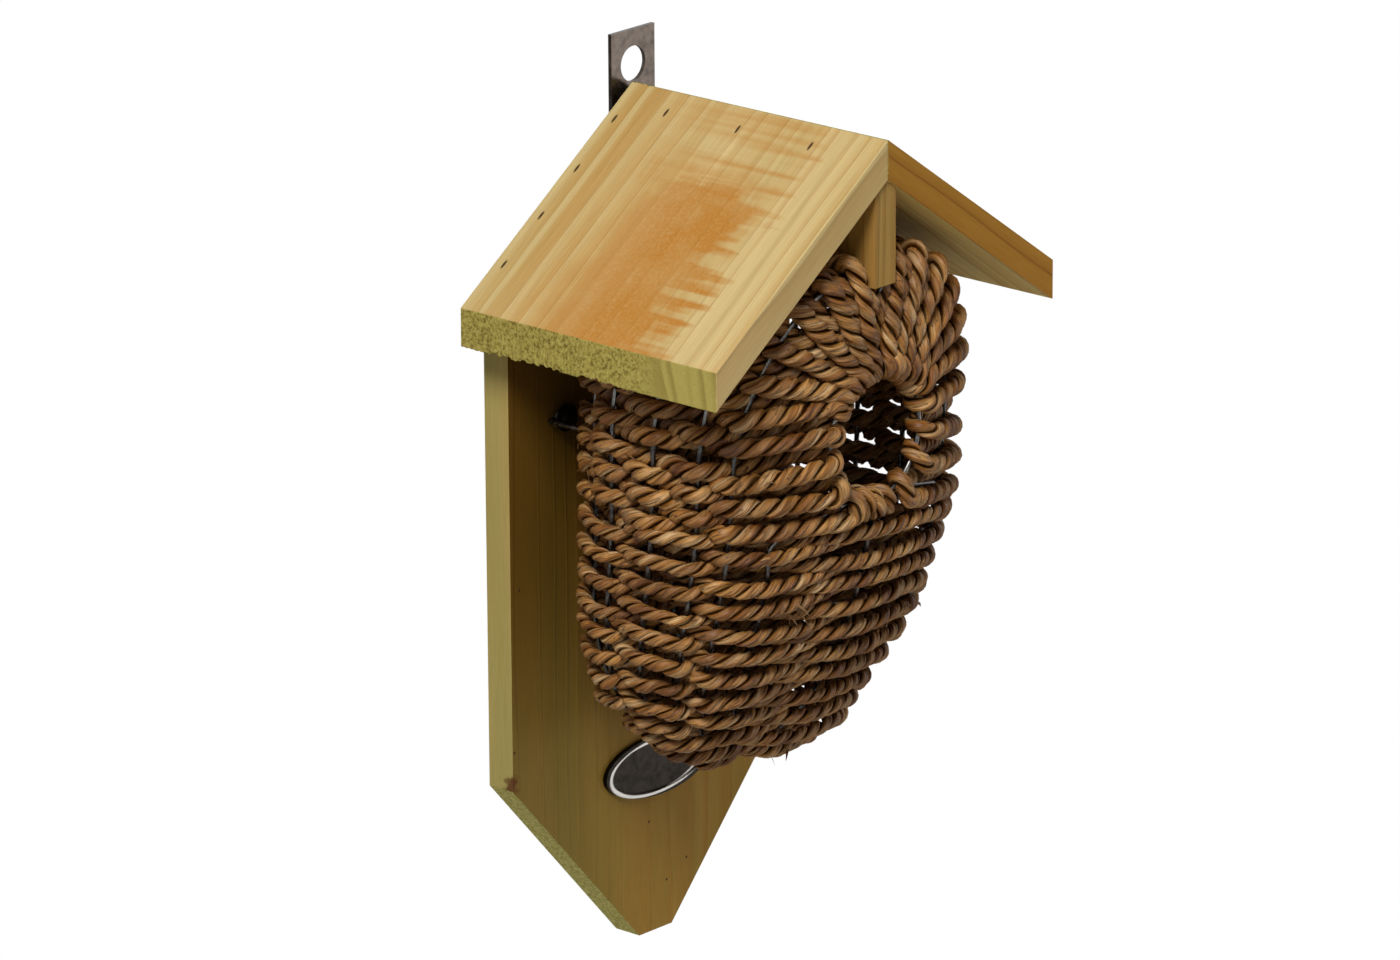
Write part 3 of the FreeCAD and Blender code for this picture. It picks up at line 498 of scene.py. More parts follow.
FINISHES = {"back_board": board_pine, "ridge_batten": batten_pine, "roof_board_right": right_pine,
            "hanging_plate": oiled_strip, "hanging_plate_screws": black_fixings,
            "roof_brads_board": black_fixings, "roof_brads_ridge": black_fixings,
            "frame_screws": black_fixings, "frame_washers": black_fixings,
            "oval_badge": cast_badge}
for name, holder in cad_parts.items():
    if name in FINISHES or not name.startswith("rope_"):
        holder.data.materials.clear()
        holder.data.materials.append(FINISHES.get(name, drawn_wire))


# ---------------------------------------------------------------- left roof board, torn at its eave

EAVE_CUTS = 220      # cuts across the board, to give the saw's tears something to bend
ARRIS = 0.4 * MM     # the planed edges are eased by this much


def torn_roof_board():
    """A planed board whose sawn eave was torn along its lower edge by the saw."""
    y_low, y_high = roof_low.y, roof_high.y
    away, up = Vector((-SLOPE_COS, 0, -SLOPE_SIN)), Vector((-SLOPE_SIN, 0, SLOPE_COS))
    solid = [corner.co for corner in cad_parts["roof_board_left"].data.vertices]
    bpy.ops.object.select_all(action="DESELECT")
    bpy.ops.mesh.primitive_cube_add(size=1)
    made = bpy.context.object
    made.name = "roof_board_left_planed"
    for corner in made.data.vertices:
        # the cube's corners go to the solid's own: on its upper or lower face, at either end
        end, face = 1 if corner.co.x > 0 else -1, 1 if corner.co.z > 0 else -1
        spot = max(solid, key=lambda p: 20 * face * p.dot(up) + end * p.dot(away))
        corner.co = (spot.x, y_high if corner.co.y > 0 else y_low, spot.z)
    middle = sum((corner.co for corner in made.data.vertices), Vector()) / 8
    bpy.ops.object.mode_set(mode="EDIT")
    bpy.ops.mesh.select_all(action="SELECT")
    bpy.ops.mesh.normals_make_consistent(inside=False)
    bpy.ops.mesh.bevel(offset=ARRIS, segments=2)
    bpy.ops.object.mode_set(mode="OBJECT")
    shape = bmesh.new()
    shape.from_mesh(made.data)
    for n in range(1, EAVE_CUTS):
        bmesh.ops.bisect_plane(shape, geom=shape.verts[:] + shape.edges[:] + shape.faces[:],
                               plane_co=(0, y_low + (y_high - y_low) * n / EAVE_CUTS, 0),
                               plane_no=(0, 1, 0))
    lowest = min((v.co - middle).dot(up) for v in shape.verts)
    furthest = max((v.co - middle).dot(away) for v in shape.verts)
    for vert in shape.verts:
        off = vert.co - middle
        if off.dot(away) < furthest - 2 * MM or off.dot(up) > lowest + 2 * MM:
            continue
        # the tears are worst halfway along the eave and stop before its front; place is in mm
        place = (y_high - vert.co.y) / MM
        tear = max(0.0, noise.noise(Vector((place * 0.22, 3.1, 0)))
                   + 0.8 * noise.noise(Vector((place * 0.75, 7.7, 0)))
                   + 0.6 * noise.noise(Vector((place * 1.9, 1.3, 0))) + 0.35)
        extent = np.interp(place, (0, 12, 35, 62, 82, 115), (0.25, 0.7, 1.0, 0.9, 0.1, 0.0))
        vert.co += (up * 1.3 - away * 0.5) * (MM * tear * extent)
    shape.to_mesh(made.data)
    shape.free()
    made.data.materials.append(left_pine)
    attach(made, "root")
    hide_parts("roof_board_left")


torn_roof_board()


# ---------------------------------------------------------------- seagrass rope

def seagrass():
    """Twisted seagrass: dry flat leaves laid side by side, red-brown, with waxy ridges and painted
    shade in the grooves and creases. The UV map is in mm, round the strand and along it."""
    made, tree = new_material("twisted_seagrass", "#8A6540")
    coords = add(tree, "UVMap", uv_map="strand_mm")
    # leaves a millimetre or two wide, running with the strand
    leaf_map = add(tree, "Mapping", {"Vector": coords, "Scale": (0.50, 0.05, 1)})
    leaves = add(tree, "TexNoise", {"Vector": leaf_map, "Scale": 1.0, "Detail": 2.0,
                                    "Roughness": 0.5, "Distortion": 0.3})
    tone = add(tree, "ValToRGB", {"Fac": leaves},
               stops=[(0.32, "#A26D2A"), (0.44, "#C3904D"), (0.56, "#DDB478"), (0.70, "#F6DEB8")])
    # some lengths dried darker and redder than others
    length_map = add(tree, "Mapping", {"Vector": coords, "Scale": (0.02, 0.06, 1)})
    lengths = add(tree, "TexNoise", {"Vector": length_map, "Scale": 1.0, "Detail": 2.0})
    season = add(tree, "ValToRGB", {"Fac": lengths},
                 stops=[(0.32, "#A08466"), (0.52, "#DCC7AC"), (0.70, "#FFF1DC")])
    mixed = add(tree, "Mix", {0: 1.0, 6: tone, 7: season}, data_type="RGBA",
                blend_type="MULTIPLY")
    # the leaves' own veins, a quarter of a millimetre apart
    fibre_map = add(tree, "Mapping", {"Vector": coords, "Scale": (3.6, 0.13, 1)})
    fibres = add(tree, "TexNoise", {"Vector": fibre_map, "Scale": 1.0, "Detail": 3.0,
                                    "Roughness": 0.65})
    streak = add(tree, "ValToRGB", {"Fac": fibres}, stops=[(0.34, 0.46), (0.58, 1.0)])
    streaked = add(tree, "Mix", {0: 1.0, 6: mixed.outputs[2], 7: streak}, data_type="RGBA",
                   blend_type="MULTIPLY")
    # painted shade: thin dark lines in the crease where one leaf overlaps the next
    steps = add(tree, "Math", {0: leaves.outputs[0], 1: 7.0}, operation="MULTIPLY")
    step = add(tree, "Math", {0: steps}, operation="FRACT")
    overlap_shade = add(tree, "ValToRGB", {"Fac": step}, stops=[(0.0, 0.95), (0.13, 0.0), (0.96, 0.0),
                                                       (1.0, 0.95)])
    overlap_shaded = add(tree, "Mix", {0: overlap_shade, 6: streaked.outputs[2], 7: linear("#3A1F08")},
                data_type="RGBA")
    # painted shade: darker where the surface lies deep, in the groove between the two strands
    #     # and in the plies' creases
    hollow = add(tree, "Attribute", attribute_name="hollow")
    deep = add(tree, "MapRange", {"Value": hollow.outputs["Fac"], "From Min": 0.25,
                                  "From Max": 1.0, "To Min": 0.0, "To Max": 0.9},
               interpolation_type="SMOOTHSTEP")
    shaded = add(tree, "Mix", {0: deep, 6: overlap_shaded.outputs[2], 7: linear("#2A1404")},
                 data_type="RGBA")
    relief = add(tree, "Math", {0: fibres.outputs[0], 1: 0.6, 2: step}, operation="MULTIPLY_ADD")
    # inverted: the veins are furrows, and each leaf sinks towards the edge that the next covers
    bump = add(tree, "Bump", {"Strength": 0.85, "Distance": 0.5 * MM, "Height": relief},
               invert=True)
    wax = add(tree, "MapRange", {"Value": hollow.outputs["Fac"], "From Max": 0.7, "To Min": 0.5,
                                 "To Max": 0.0})
    skin = add(tree, "BsdfPrincipled", {"Base Color": shaded.outputs[2], "Roughness": 0.46,
                                        "Normal": bump, "IOR": 1.45,
                                        "Specular IOR Level": wax})
    add(tree, "OutputMaterial", {"Surface": skin})
    return made


rope_skin = seagrass()

# The wire frame's own shape, in mm, as it stands on the bench.
HALF_WIDTH, FRONT, BACK, HEEL = 65, 101, 7.5, 39
WAIST, BELLY, BOTTOM, SPRING, CROWN = 190, 150, 80, 195, 262
SECTION_POWER, SIDE_POWER, FRONT_POWER, CROWN_POWER = 2.5, 2.3, 1.7, 2.4
RING_RADIUS, RING_HEIGHT = 23, 203
# ribs of the left half: turn from the left (90 is the front), and where the arch crosses the crown
RIBS = ((90, None), (54, None), (36, 100), (22, 82), (3, 60), (-14, 37), (-40, 20), (-62, 12),
        (-90, None))
HOOPS = (2, 3, 4, 5, 6, 7)
SHORT_RIBS_END = 103  # mm up, where every second rib stops
SWING = 3.3           # mm from the wire to the middle of the rope that passes it


def signed_power(value, power):
    return math.copysign(abs(value) ** power, value)


def clamp(value, low=0.0):
    return min(max(value, low), 1.0)


def narrowing(height, start, power):
    """How much of its full width the pouch still has below the height where it starts to narrow."""
    return (1 - clamp((start - height) / (start - BOTTOM)) ** power) ** (1 / power)


def wall(turn, height):
    """The frame's wall, as (across, depth, height); turn 0 is the left side, 90 the front."""
    across = HALF_WIDTH * narrowing(height, BELLY, SIDE_POWER)
    front = (FRONT - HEEL) * narrowing(height, WAIST, FRONT_POWER)
    back = (HEEL - BACK) * narrowing(height, BELLY, SIDE_POWER)
    angle = math.radians(turn)
    reach = signed_power(math.sin(angle), 2 / SECTION_POWER)
    return np.array((-across * signed_power(math.cos(angle), 2 / SECTION_POWER),
                     HEEL + (front - back) / 2 + (front + back) / 2 * reach, height))


def arch(rib, climb):
    """A hoop's arch on the left: climb 0 at its spring, 90 at its crown."""
    turn, crown = RIBS[rib]
    spring = wall(turn, SPRING)
    angle = math.radians(climb)
    rise = signed_power(math.sin(angle), 2 / CROWN_POWER)
    return np.array((spring[0] * signed_power(math.cos(angle), 2 / CROWN_POWER),
                     spring[1] + (crown - spring[1]) * math.sin(angle),
                     SPRING + (CROWN - SPRING) * rise))


def unit(vector):
    return vector / max(np.linalg.norm(vector), 1e-9)


def distances(places):
    """How far along a line each of its places is."""
    return np.concatenate([[0], np.cumsum(np.linalg.norm(np.diff(places, axis=0), axis=1))])


def smooth_path(points, step):
    """Evenly spaced places along a smooth curve through the points."""
    points = np.asarray(points, float)
    ends = np.vstack([2 * points[0] - points[1], points, 2 * points[-1] - points[-2]])
    dense = []
    for n in range(1, len(ends) - 2):
        a, b, c, d = ends[n - 1:n + 3]
        span = np.linalg.norm(c - b)
        count = max(2, int(span / 0.35))
        t = np.linspace(0, 1, count, endpoint=False)[:, None]
        # tangents scaled to the span keep short spans beside long ones from looping
        before, after = max(np.linalg.norm(b - a), 1e-6), max(np.linalg.norm(d - c), 1e-6)
        start = (c - a) / (span + before) * span
        stop = (d - b) / (span + after) * span
        dense.append((2 * t**3 - 3 * t**2 + 1) * b + (t**3 - 2 * t**2 + t) * start
                     + (3 * t**2 - 2 * t**3) * c + (t**3 - t**2) * stop)
    dense = np.vstack(dense + [points[-1:]])
    along = distances(dense)
    stations = np.linspace(0, along[-1], max(4, int(along[-1] / step)))
    return np.stack([np.interp(stations, along, dense[:, k]) for k in range(3)], 1), stations


STEP = 0.95          # mm between sections of a ply
SIDES = 22           # corners of a ply's section
LAY = 14.1           # mm in which the two plies turn once round each other
ROPE = 3.0           # mm, radius over both plies
LEAF_ROUND = 10      # mm of the leaf pattern that go once round a ply
LEAF_LEAN = 0.22     # how far the leaves turn round the ply, for each mm along it
CREASES, CREASE_DEPTH, CREASE_WIDTH = 4, 0.21, 0.20
skins = []           # places on top of the plies, with the ways out of and along each


def wobble(places, seed, scale):
    """Smooth seeded variation between about -1 and 1 along a rope."""
    return np.array([noise.noise(Vector((p / scale, seed * 7.31, seed * 1.7)))
                     for p in places]) * 1.6


def untwisted(line):
    """The ways along, sideways and upwards at each place of a line, without a twist."""
    tangent = np.gradient(line, axis=0)
    tangent /= np.linalg.norm(tangent, axis=1)[:, None]
    sides = [unit(np.cross(tangent[0], (0.3, 0.2, 0.93)))]
    for way in tangent[1:]:
        sides.append(unit(sides[-1] - way * np.dot(sides[-1], way)))
    sides = np.array(sides)
    return tangent, sides, np.cross(tangent, sides)


def thickness(line, along, own, ply, plump, far):
    """How thick a ply is at each place, as a share of its usual size. The far side of the pouch
    begins at a line that slants from its right front to its left back."""
    fat = 1 + 0.15 * wobble(along, own + ply * 3.7, 20) + 0.06 * wobble(along, own + ply, 5)
    fat *= 1 + plump * np.interp(abs(along - along[-1] / 2), (8, 16, 55, 85), (0.4, 1, 1, 0))
    return fat * (1 + far * np.clip((line[:, 0] * 0.6 - line[:, 1] * 0.8 + 40) / 22, 0, 1))


def creased(around, along, own, ply):
    """How full a ply's section is at each corner; creases between its leaves wander round it."""
    full = 1 + 0.03 * np.cos(3 * around[None, :] + 0.3 * along[:, None] + own)
    for crease in range(CREASES):
        at = (crease * 1.57 + own * 0.9 + 0.5 * wobble(along, own + crease * 1.3, 14)
              - 0.10 * along)
        off = np.angle(np.exp(1j * (around[None, :] - at[:, None])))
        deep = np.clip(0.5 + 0.5 * wobble(along, own + crease * 2.7 + ply, 9), 0, 1)
        full -= (CREASE_DEPTH * deep)[:, None] * np.exp(-(off / CREASE_WIDTH) ** 2)
    return full


def seagrass_piece(name, corners, faces, marks, hollows):
    """A mesh in seagrass, from corners in mm on the bench, faces, leaf pattern and hollowness."""
    placed = np.stack([BOARD_X + corners[:, 0] * MM, BOARD_FACE - corners[:, 1] * MM,
                       FOOT + corners[:, 2] * MM], 1)
    mesh = bpy.data.meshes.new(name)
    mesh.from_pydata(placed.tolist(), [], faces)
    mesh.uv_layers.new(name="strand_mm").data.foreach_set("uv", marks.ravel())
    mesh.attributes.new("hollow", "FLOAT", "POINT").data.foreach_set("value", hollows)
    # depth on the bench runs against Y, so the faces look inwards until they are turned
    mesh.flip_normals()
    mesh.materials.append(rope_skin)
    mesh.shade_smooth()
    piece = bpy.data.objects.new(name, mesh)
    bpy.context.scene.collection.objects.link(piece)
    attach(piece, "root")
    return piece


def rope_piece(name, points, seed, rope_radius=ROPE, lay=LAY, plump=0.0, far=0.0):
    """A mesh of two-ply rope through points of (across, depth, height). plump is how much looser
    and fatter the rope is in the middle of its way, far how much on the far side of the pouch."""
    corners, faces, marks, hollows = [], [], [], []
    around = np.linspace(-math.pi, math.pi, SIDES + 1)[:-1]
    # a ply's flank is fuller than a circle's
    flank = np.sign(np.sin(around)) * np.abs(np.sin(around)) ** 0.68
    line, along = smooth_path(points, STEP)
    count = len(line)
    tangent, sides, uppers = untwisted(line)
    own = seed * 10
    phase = (own * 2.399) % (2 * math.pi) + 2 * math.pi * along / lay
    phase += 1.5 * wobble(along, own + 0.3, 46)
    for ply in (0, 1):
        turn = phase + math.pi * ply
        outwards = np.cos(turn)[:, None] * sides + np.sin(turn)[:, None] * uppers
        sideways = -np.sin(turn)[:, None] * sides + np.cos(turn)[:, None] * uppers
        thick = rope_radius * thickness(line, along, own, ply, plump, far)[:, None]
        full = creased(around, along, own, ply)
        reach = thick * (0.47 + 0.55 * np.cos(around)[None, :] * full)
        width = thick * 0.78 * flank[None, :] * full
        # how deep each corner lies in the ply, which the rope's material darkens as painted shade
        hollows.append(np.clip((0.89 - np.hypot(reach, width) / thick) / 0.25, 0, 1).ravel())
        ring = (line[:, None, :] + reach[..., None] * outwards[:, None, :]
                + width[..., None] * sideways[:, None, :])
        skins.append(np.hstack([ring[:, SIDES // 2], outwards, tangent]))
        base = sum(len(c) for c in corners)
        corners.append(ring.reshape(-1, 3))
        rows, cols = np.meshgrid(np.arange(count - 1), np.arange(SIDES), indexing="ij")
        after = (cols + 1) % SIDES
        quads = np.stack([rows * SIDES + cols, rows * SIDES + after,
                          (rows + 1) * SIDES + after, (rows + 1) * SIDES + cols], -1) + base
        faces.extend(quads.reshape(-1, 4).tolist())
        # every ply takes its own part of the leaf pattern
        corner_mark = np.array((37.0 * (own % 91) + 11 * ply, 53.0 * own))
        u0, u1 = cols * LEAF_ROUND / SIDES, (cols + 1) * LEAF_ROUND / SIDES
        v0, v1 = along[rows], along[rows + 1]
        pattern = [np.stack([u + v * LEAF_LEAN, v], -1)
                   for u, v in ((u0, v0), (u1, v0), (u1, v1), (u0, v1))]
        marks.append((np.stack(pattern, -2) + corner_mark).reshape(-1, 2))
        # a low cone closes each end
        for row, forwards in ((0, False), (count - 1, True)):
            middle = sum(len(c) for c in corners)
            corners.append(line[row][None, :] + outwards[row] * rope_radius * 0.5)
            hollows.append([1.0])
            loop = base + row * SIDES + np.arange(SIDES)
            following = np.roll(loop, -1)
            first, second = (loop, following) if forwards else (following, loop)
            faces.extend(np.stack([first, second, np.full(SIDES, middle)], -1).tolist())
            marks.append(np.tile(corner_mark, (SIDES * 3, 1)))
    return seagrass_piece(name, np.vstack(corners), faces, np.vstack(marks),
                          np.concatenate(hollows))


MIDDLE = np.array((0, 55, 185))   # of the pouch, in mm on the bench


def facing(place, along, around):
    """Unit direction out of the pouch at a place on its wall."""
    normal = unit(np.cross(along, around))
    return normal if np.dot(normal, place - MIDDLE) > 0 else -normal


def wall_facing(turn, height):
    """Unit direction out of the pouch on one of its rows."""
    here = wall(turn, height)
    return facing(here, wall(turn, height + 1) - wall(turn, height - 1),
                  wall(turn + 1.5, height) - wall(turn - 1.5, height))


def sag(turn, height):
    """The woven rows droop towards the front and hang lowest on the right of it, in mm; less at
    the heel, and not at all at the top."""
    low, high = clamp((height - 64) / 36, 0.4), clamp((216 - height) / 38)
    return low * high * np.interp(turn, (0, 45, 90, 140, 180, 225, 268),
                                  (0, 2.0, 5.5, 12.0, 10.0, 5.0, 0))


DRAWN_IN = 2.4       # mm, how much nearer its ribs the rope lies on the right, under the entrance


def row_place(turn, height, off):
    """A place on a row, off the frame's wall by so much. The upper rows slide down the ribs; the
    lower ones bag out below them."""
    drop = sag(turn, height)
    bag = drop * clamp((112 - height) / 24)
    level = height - (drop - bag)
    off -= (DRAWN_IN * np.interp(turn, (95, 135, 205, 245), (0, 1, 1, 0))
            * clamp((172 - height) / 20))
    return wall(turn, level) + wall_facing(turn, level) * off - np.array((0, 0, bag))


def hung(place):
    """A place on a strand beside the entrance, let down with the rows away from the ring."""
    turn = math.degrees(math.atan2(place[1] - 48, -place[0])) % 360
    in_front = place[1] > FRONT - 14
    clear = math.hypot(place[0], place[2] - RING_HEIGHT) if in_front else 60
    free = clamp((clear - RING_RADIUS - 5) / 24)
    return place - np.array((0, 0, sag(turn, max(place[2], 177)) * free))


def closed_row(row, height, seed):
    """A row right round the pouch: in front of two ribs, then behind the next two."""
    left = [turn for n, (turn, _) in enumerate(RIBS) if height > SHORT_RIBS_END or n % 2 == 0]
    stops = left[::-1] + [180 - turn for turn in left[1:]]

    def swayed(turn):
        return height + 2.4 * noise.noise(Vector((turn * 0.022, seed * 3.1, row * 0.77)))

    points = []
    for n, turn in enumerate(stops):
        side, after = (1 if (row + (n + k) // 2) % 2 == 0 else -1 for k in (0, 1))
        points.append(row_place(turn, swayed(turn), SWING * side))
        if n + 1 < len(stops):
            between = (turn + stops[n + 1]) / 2
            # the rows nest unevenly: one stands proud for a stretch, the next lies deeper
            nest = 0.6 + 1.3 * noise.noise(Vector((between * 0.02, seed * 5.3, 9.1)))
            lift = (0.8 if row % 2 else -0.8) * nest + SWING * (side + after) / 2
            points.append(row_place(between, swayed(between), lift))
    return points


def nearest_step(upper, lower):
    """The least distance over the wall between two heights, in mm."""
    return min(np.linalg.norm(wall(turn, upper) - wall(turn, lower)) for turn in range(-90, 91, 15))


ROW_STEP = 4.55                     # mm from row to row over the wall, where they lie closest
TOP_ROW, LAST_ROW = 175.8, 83       # mm up from the board's foot
heights = [TOP_ROW]
height = TOP_ROW
while height > LAST_ROW:
    height -= 0.05
    if nearest_step(heights[-1], height) >= ROW_STEP * (1 if height > 100 else 1.08):
        heights.append(height)

courses = sorted(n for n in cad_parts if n.startswith("rope_course"))
for row, height in enumerate(heights):
    piece = rope_piece(f"rope_row_{row + 1:02d}", closed_row(row, height, row * 0.37), row + 1,
                       rope_radius=2.52, lay=14.57, far=0.30)
    covered = courses[round(row * (len(courses) - 1) / (len(heights) - 1))]
    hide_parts(covered)
    if row == len(heights) - 1:
        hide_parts(*courses)


# ---- rows beside and above the entrance: U-turns round the ring or round a hoop

def hoop_line(rib):
    """Places up one hoop from the last closed row to the crown, and their distances."""
    turn = RIBS[rib][0]
    places = [wall(turn, z) for z in np.arange(175, SPRING, 1.0)]
    places += [arch(rib, climb) for climb in np.arange(0, 91, 2.0)]
    places = np.array(places)
    return places, distances(places)


HOOP_LINES = {rib: hoop_line(rib) for rib in HOOPS}


def on_hoop(rib, share):
    """A place on a hoop, as a share of its way from the last closed row to the crown."""
    places, gone = HOOP_LINES[rib]
    reach = share * gone[-1]
    return np.array([np.interp(reach, gone, places[:, k]) for k in range(3)])


def ring_place(climb, radius, proud):
    """A place beside the ring's wire; climb is 0 at its left and 90 at its top."""
    angle = math.radians(climb)
    return np.array((-radius * math.cos(angle), FRONT + proud,
                     RING_HEIGHT + radius * math.sin(angle)))


# R starts at the ring and M at the fourth hoop, from the bottom row upwards
GROUPS = "RRRRRRMRRMRR"
STARTS = {"R": 1, "M": 4}
KINDS = [kind for kind in GROUPS for _ in (0, 1)]
LEVEL = 8            # strands beside the ring that run on nearly level
LOWEST_STRAND = 178.7                # mm up from the board's foot
RING_CLIMBS = (-60, -50, -33, -23, -9, 0, 13, 22, 33, 38, 43, 48, 53, 58, 63, 68, 73, 78, 82, 87)
SLACK_ROW = 6
# a turn goes round the ring from its front to its back: how far it is on its way from the first
# climb to the second, then mm out from the ring's wire, and mm in front of it
RING_TURN = ((0.0, 6.5, 2.6), (0.0, 2.0, 3.4), (0.4, -0.7, 0.9), (2 / 3, -0.2, -2.3),
             (1.0, 5.0, -3.2))


def share_on(rib, strand):
    """How far up a hoop a strand crosses it: level beside the ring, then shared out to the crown.
    Strands lie closer together where they turn."""
    places, gone = HOOP_LINES[rib]
    pitch = 4.5 + 0.03 * (rib - 1)
    if strand < LEVEL:
        height = LOWEST_STRAND + pitch * (strand + 0.3)
        return np.interp(height, places[:, 2], gone) / gone[-1]
    start = np.interp(LOWEST_STRAND + pitch * LEVEL, places[:, 2], gone)
    room = []
    for kind in KINDS[LEVEL:]:
        past = rib - STARTS[kind]
        if past < 0:
            room.append(0.0)
        else:
            room.append(1.0 if kind == "R" else (0.7, 0.9, 1.0)[min(past, 2)])
    below = sum(room[:strand - LEVEL]) + room[strand - LEVEL] / 2
    return (start + (gone[-1] - start) * below / sum(room)) / gone[-1]


def crossing(rib, strand, side, seed):
    """Where a strand passes a hoop: side 1 in front of it, -1 behind."""
    share = share_on(rib, strand) + 0.005 * noise.noise(Vector((rib * 1.7, strand * 3.3, seed)))
    # one slack place, where the rows part and the wires show
    away = strand + 0.5 - SLACK_ROW
    if rib in (2, 3, 4):
        share += math.copysign(0.018, away) * math.exp(-(away / 2.2) ** 2)
    here = on_hoop(rib, share)
    up = on_hoop(rib, min(share + 0.02, 1)) - on_hoop(rib, max(share - 0.02, 0))
    neighbour = rib + 1 if rib < HOOPS[-1] else rib - 1
    across = on_hoop(neighbour, share) - here
    return here + facing(here, up, across) * SWING * side


def half_strand(strand, first_rib, seed):
    """The way of one strand from its first rib to the back."""
    points = []
    for rib in range(first_rib, HOOPS[-1] + 1):
        side = 1 if (strand + rib) % 2 == 0 else -1
        points.append(crossing(rib, strand, side, seed))
    last = points[-1]
    if last[2] < RING_HEIGHT + 2:
        points.append(np.array((last[0] * 0.55, 5.5, last[2])))
        points.append(np.array((0.0, 5.0, last[2])))
    else:
        points.append(np.array((last[0] * 0.9, 5.0, last[2] - 1.0)))
    return points


def pair(kind, lower, climbs, seed):
    """Two neighbouring strands joined by a U-turn round the ring or a hoop."""
    start = STARTS[kind]
    out_leg = half_strand(lower, start + 1, seed)
    in_leg = half_strand(lower + 1, start + 1, seed)
    if kind == "R":
        # even strands pass in front of the second hoop, so the turn goes in from the front
        first, second = climbs
        turn = [ring_place(first + (second - first) * share, RING_RADIUS + out, proud)
                for share, out, proud in RING_TURN]
    else:
        a = crossing(start, lower, 1, seed)
        b = crossing(start, lower + 1, -1, seed)
        ahead = unit((a - out_leg[0]) + (b - in_leg[0]))
        turn = [a, (a + b) / 2 + ahead * 2.6, b]
    return out_leg[::-1] + turn + in_leg


def mirrored(points):
    """The same way on the right of the pouch."""
    return [np.array((-p[0], p[1], p[2])) for p in points]


LOW_TURNS = 4        # turns under and beside the entrance, whose rope is twisted tighter
fans = {side: sorted(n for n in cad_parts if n.startswith(f"rope_fan_{side}"))
        for side in ("left", "right")}
side_rows = sorted(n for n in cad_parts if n.startswith("rope_side_row"))
for side in ("left", "right"):
    ring_used = 0
    for number, kind in enumerate(GROUPS):
        climbs = None
        if kind == "R":
            climbs = RING_CLIMBS[ring_used:ring_used + 2]
            ring_used += 2
        seed = 40 + number + (20 if side == "right" else 0)
        way = pair(kind, 2 * number, climbs, seed * 0.41)
        if side == "right":
            way = mirrored(way)
        way = [hung(place) for place in way]
        lay, plump = (15.04, 0.06) if number < LOW_TURNS else (15.98, 0.14)
        piece = rope_piece(f"rope_turn_{side}_{number + 1:02d}", way, seed, lay=lay, plump=plump)
        stands_for = (side_rows + fans[side])[min(number * 9 // len(GROUPS), 8)]
        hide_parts(stands_for)
        if number == len(GROUPS) - 1:
            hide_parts(*fans[side], *side_rows)


# ---- the ring's lower edge is bound with a few turns of the same rope
def bound_ring(first, last, turns):
    """Turns of rope round the ring's wire, between two climbs."""
    points = []
    for n in range(turns * 8 + 1):
        share = n / (turns * 8)
        spin = 2 * math.pi * turns * share
        climb = first + (last - first) * share
        points.append(ring_place(climb, RING_RADIUS + 0.4 + 3.7 * math.cos(spin),
                                 4.0 * math.sin(spin)))
    return points


rope_piece("rope_ring_binding", bound_ring(-101, -62, 3), 91, rope_radius=2.6, lay=15.98)


# ---- folded end that closes the heel
def heel_fold():
    """A flat loop of rope inside the heel ring."""
    points = []
    for n in range(25):
        angle = 2 * math.pi * n / 24
        points.append(np.array((9.5 * math.cos(angle), HEEL + 3.4 * math.sin(angle), 82.0)))
    return points


heel = rope_piece("rope_heel", heel_fold(), 95)
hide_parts("rope_heel_coil")


# ---- fibres that work loose: bristle all over, and tufts where a length of rope ends
BLADE_STEPS = 6      # lengths of a strip, from root to tip


def blade(start, way, length, wide, bend, rng):
    """A thin leaf strip that tapers and bends, as rows of three corners."""
    side = unit(np.cross(way, (rng.uniform(-1, 1), rng.uniform(-1, 1), rng.uniform(-1, 1))))
    lift = np.cross(side, way)
    rows = []
    for n in range(BLADE_STEPS + 1):
        t = n / BLADE_STEPS
        at = start + way * length * t + bend * length * t * t
        half = wide / 2 * (1 - 0.85 * t)
        rows.append((at - side * half, at + lift * half * 0.5, at + side * half))
    return rows


# turn, height, number of strips and their length
TUFTS = ((-38, 191, 7, 9), (68, 152, 7, 7), (122, 140, 4, 5), (104, 86, 3, 5), (86, 84, 3, 5),
         (28, 129, 4, 5), (42, 199, 5, 6), (-4, 196, 5, 6), (52, 176, 4, 5))
TUFT_ROOTS = 14      # nearest places that a tuft's strips may grow from
BRISTLES = 460
rng = random.Random(17)
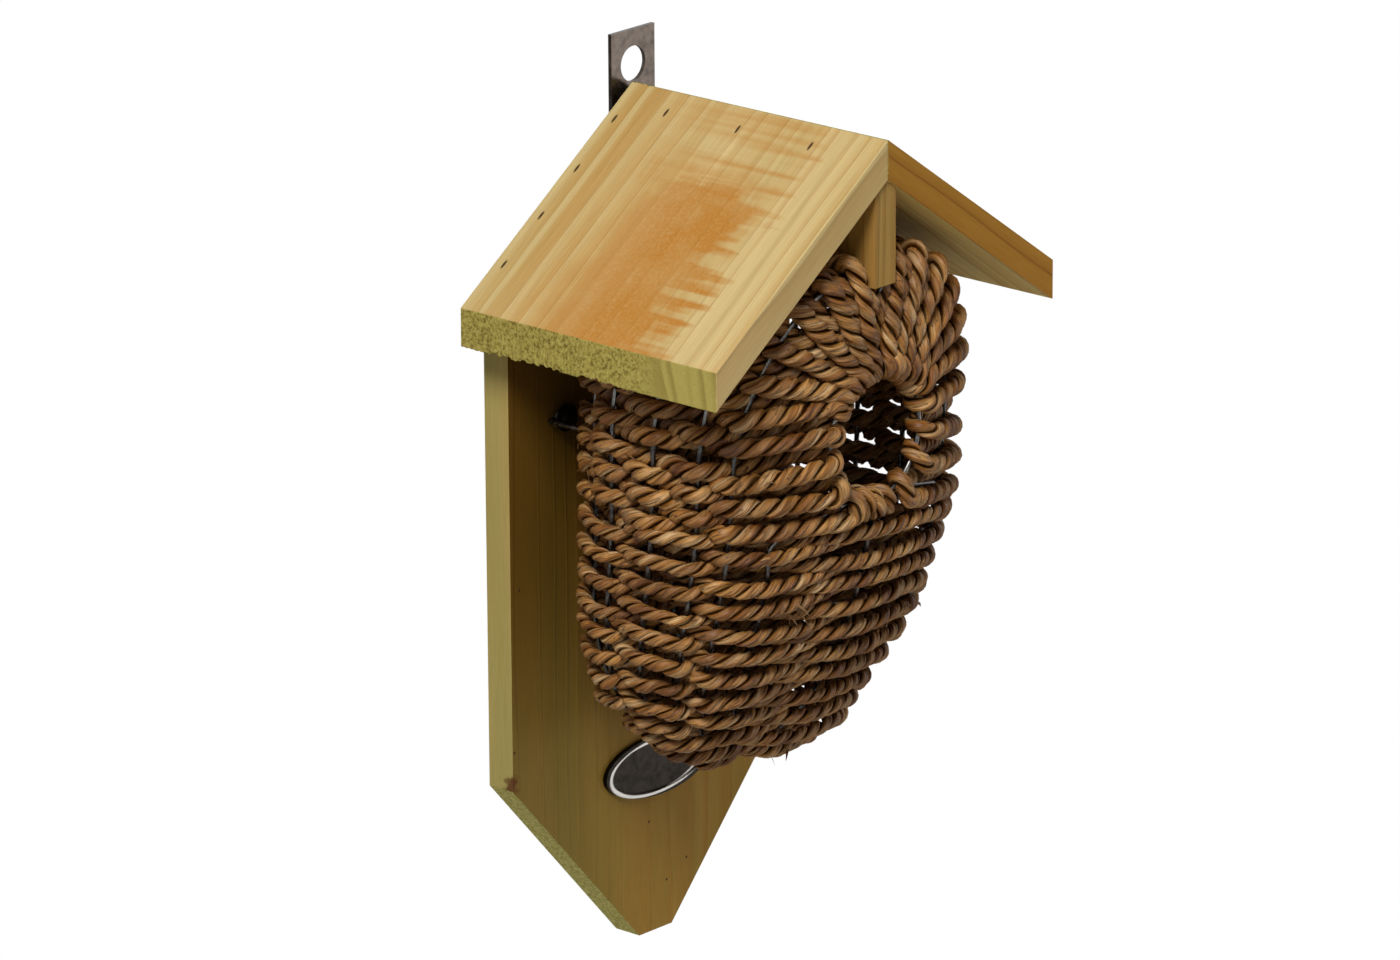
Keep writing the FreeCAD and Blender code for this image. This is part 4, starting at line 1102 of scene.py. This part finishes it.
# only the plies' outer sides carry loose fibres: those that look away from the pouch's upright core
skins = np.vstack(skins)
core = np.stack([np.zeros(len(skins)), np.full(len(skins), 50.0),
                 np.minimum(skins[:, 2], SPRING)], 1)
away = skins[:, :3] - core
away /= np.linalg.norm(away, axis=1)[:, None]
skins = skins[(away * skins[:, 3:6]).sum(1) > 0.55]
strips = []
for turn, height, number, length in TUFTS:
    spot = row_place(turn, height, 5.0)
    near = np.argsort(np.linalg.norm(skins[:, :3] - spot, axis=1))[:TUFT_ROOTS]
    for _ in range(number):
        root = skins[near[rng.randrange(TUFT_ROOTS)]]
        out = root[3:6]
        way = unit(out * rng.uniform(0.2, 0.7) + root[6:] * rng.uniform(-1, 1)
                   + np.array((0, 0, rng.uniform(-0.8, 0.3))))
        strips.append(blade(root[:3] - out * 0.4, way, length * rng.uniform(0.4, 1.0),
                            rng.uniform(0.8, 2.0), np.array((0, 0, -0.35)) - out * 0.3, rng))
for _ in range(BRISTLES):
    root = skins[rng.randrange(len(skins))]
    out = root[3:6]
    way = unit(out * rng.uniform(0.1, 0.5) + root[6:] * rng.choice((-1, 1))
               + np.array((0, 0, rng.uniform(-0.5, 0.5))))
    strips.append(blade(root[:3] - out * 0.2, way, rng.uniform(2.0, 5.5),
                        rng.uniform(0.12, 0.45), -out * rng.uniform(0.1, 0.4), rng))
points, faces, marks = [], [], []
for number, rows in enumerate(strips):
    base = len(points)
    for row in rows:
        points.extend(row)
    # every strip takes its own part of the leaf pattern
    own = number * 7.0
    for n in range(BLADE_STEPS):
        # two faces in front and one behind, so that the strip has both its sides
        for side in (0, 1):
            a, b = base + 3 * n + side, base + 3 * n + side + 1
            faces.append((a, b, b + 3, a + 3))
            left, right = own + side * 0.5, own + side * 0.5 + 0.5
            marks.extend(((left, n), (right, n), (right, n + 1), (left, n + 1)))
        a, b = base + 3 * n, base + 3 * n + 2
        faces.append((b, a, a + 3, b + 3))
        marks.extend(((own + 1, n), (own, n), (own, n + 1), (own + 1, n + 1)))
seagrass_piece("loose_fibres", np.array(points), faces, np.array(marks, float),
               np.zeros(len(points)))
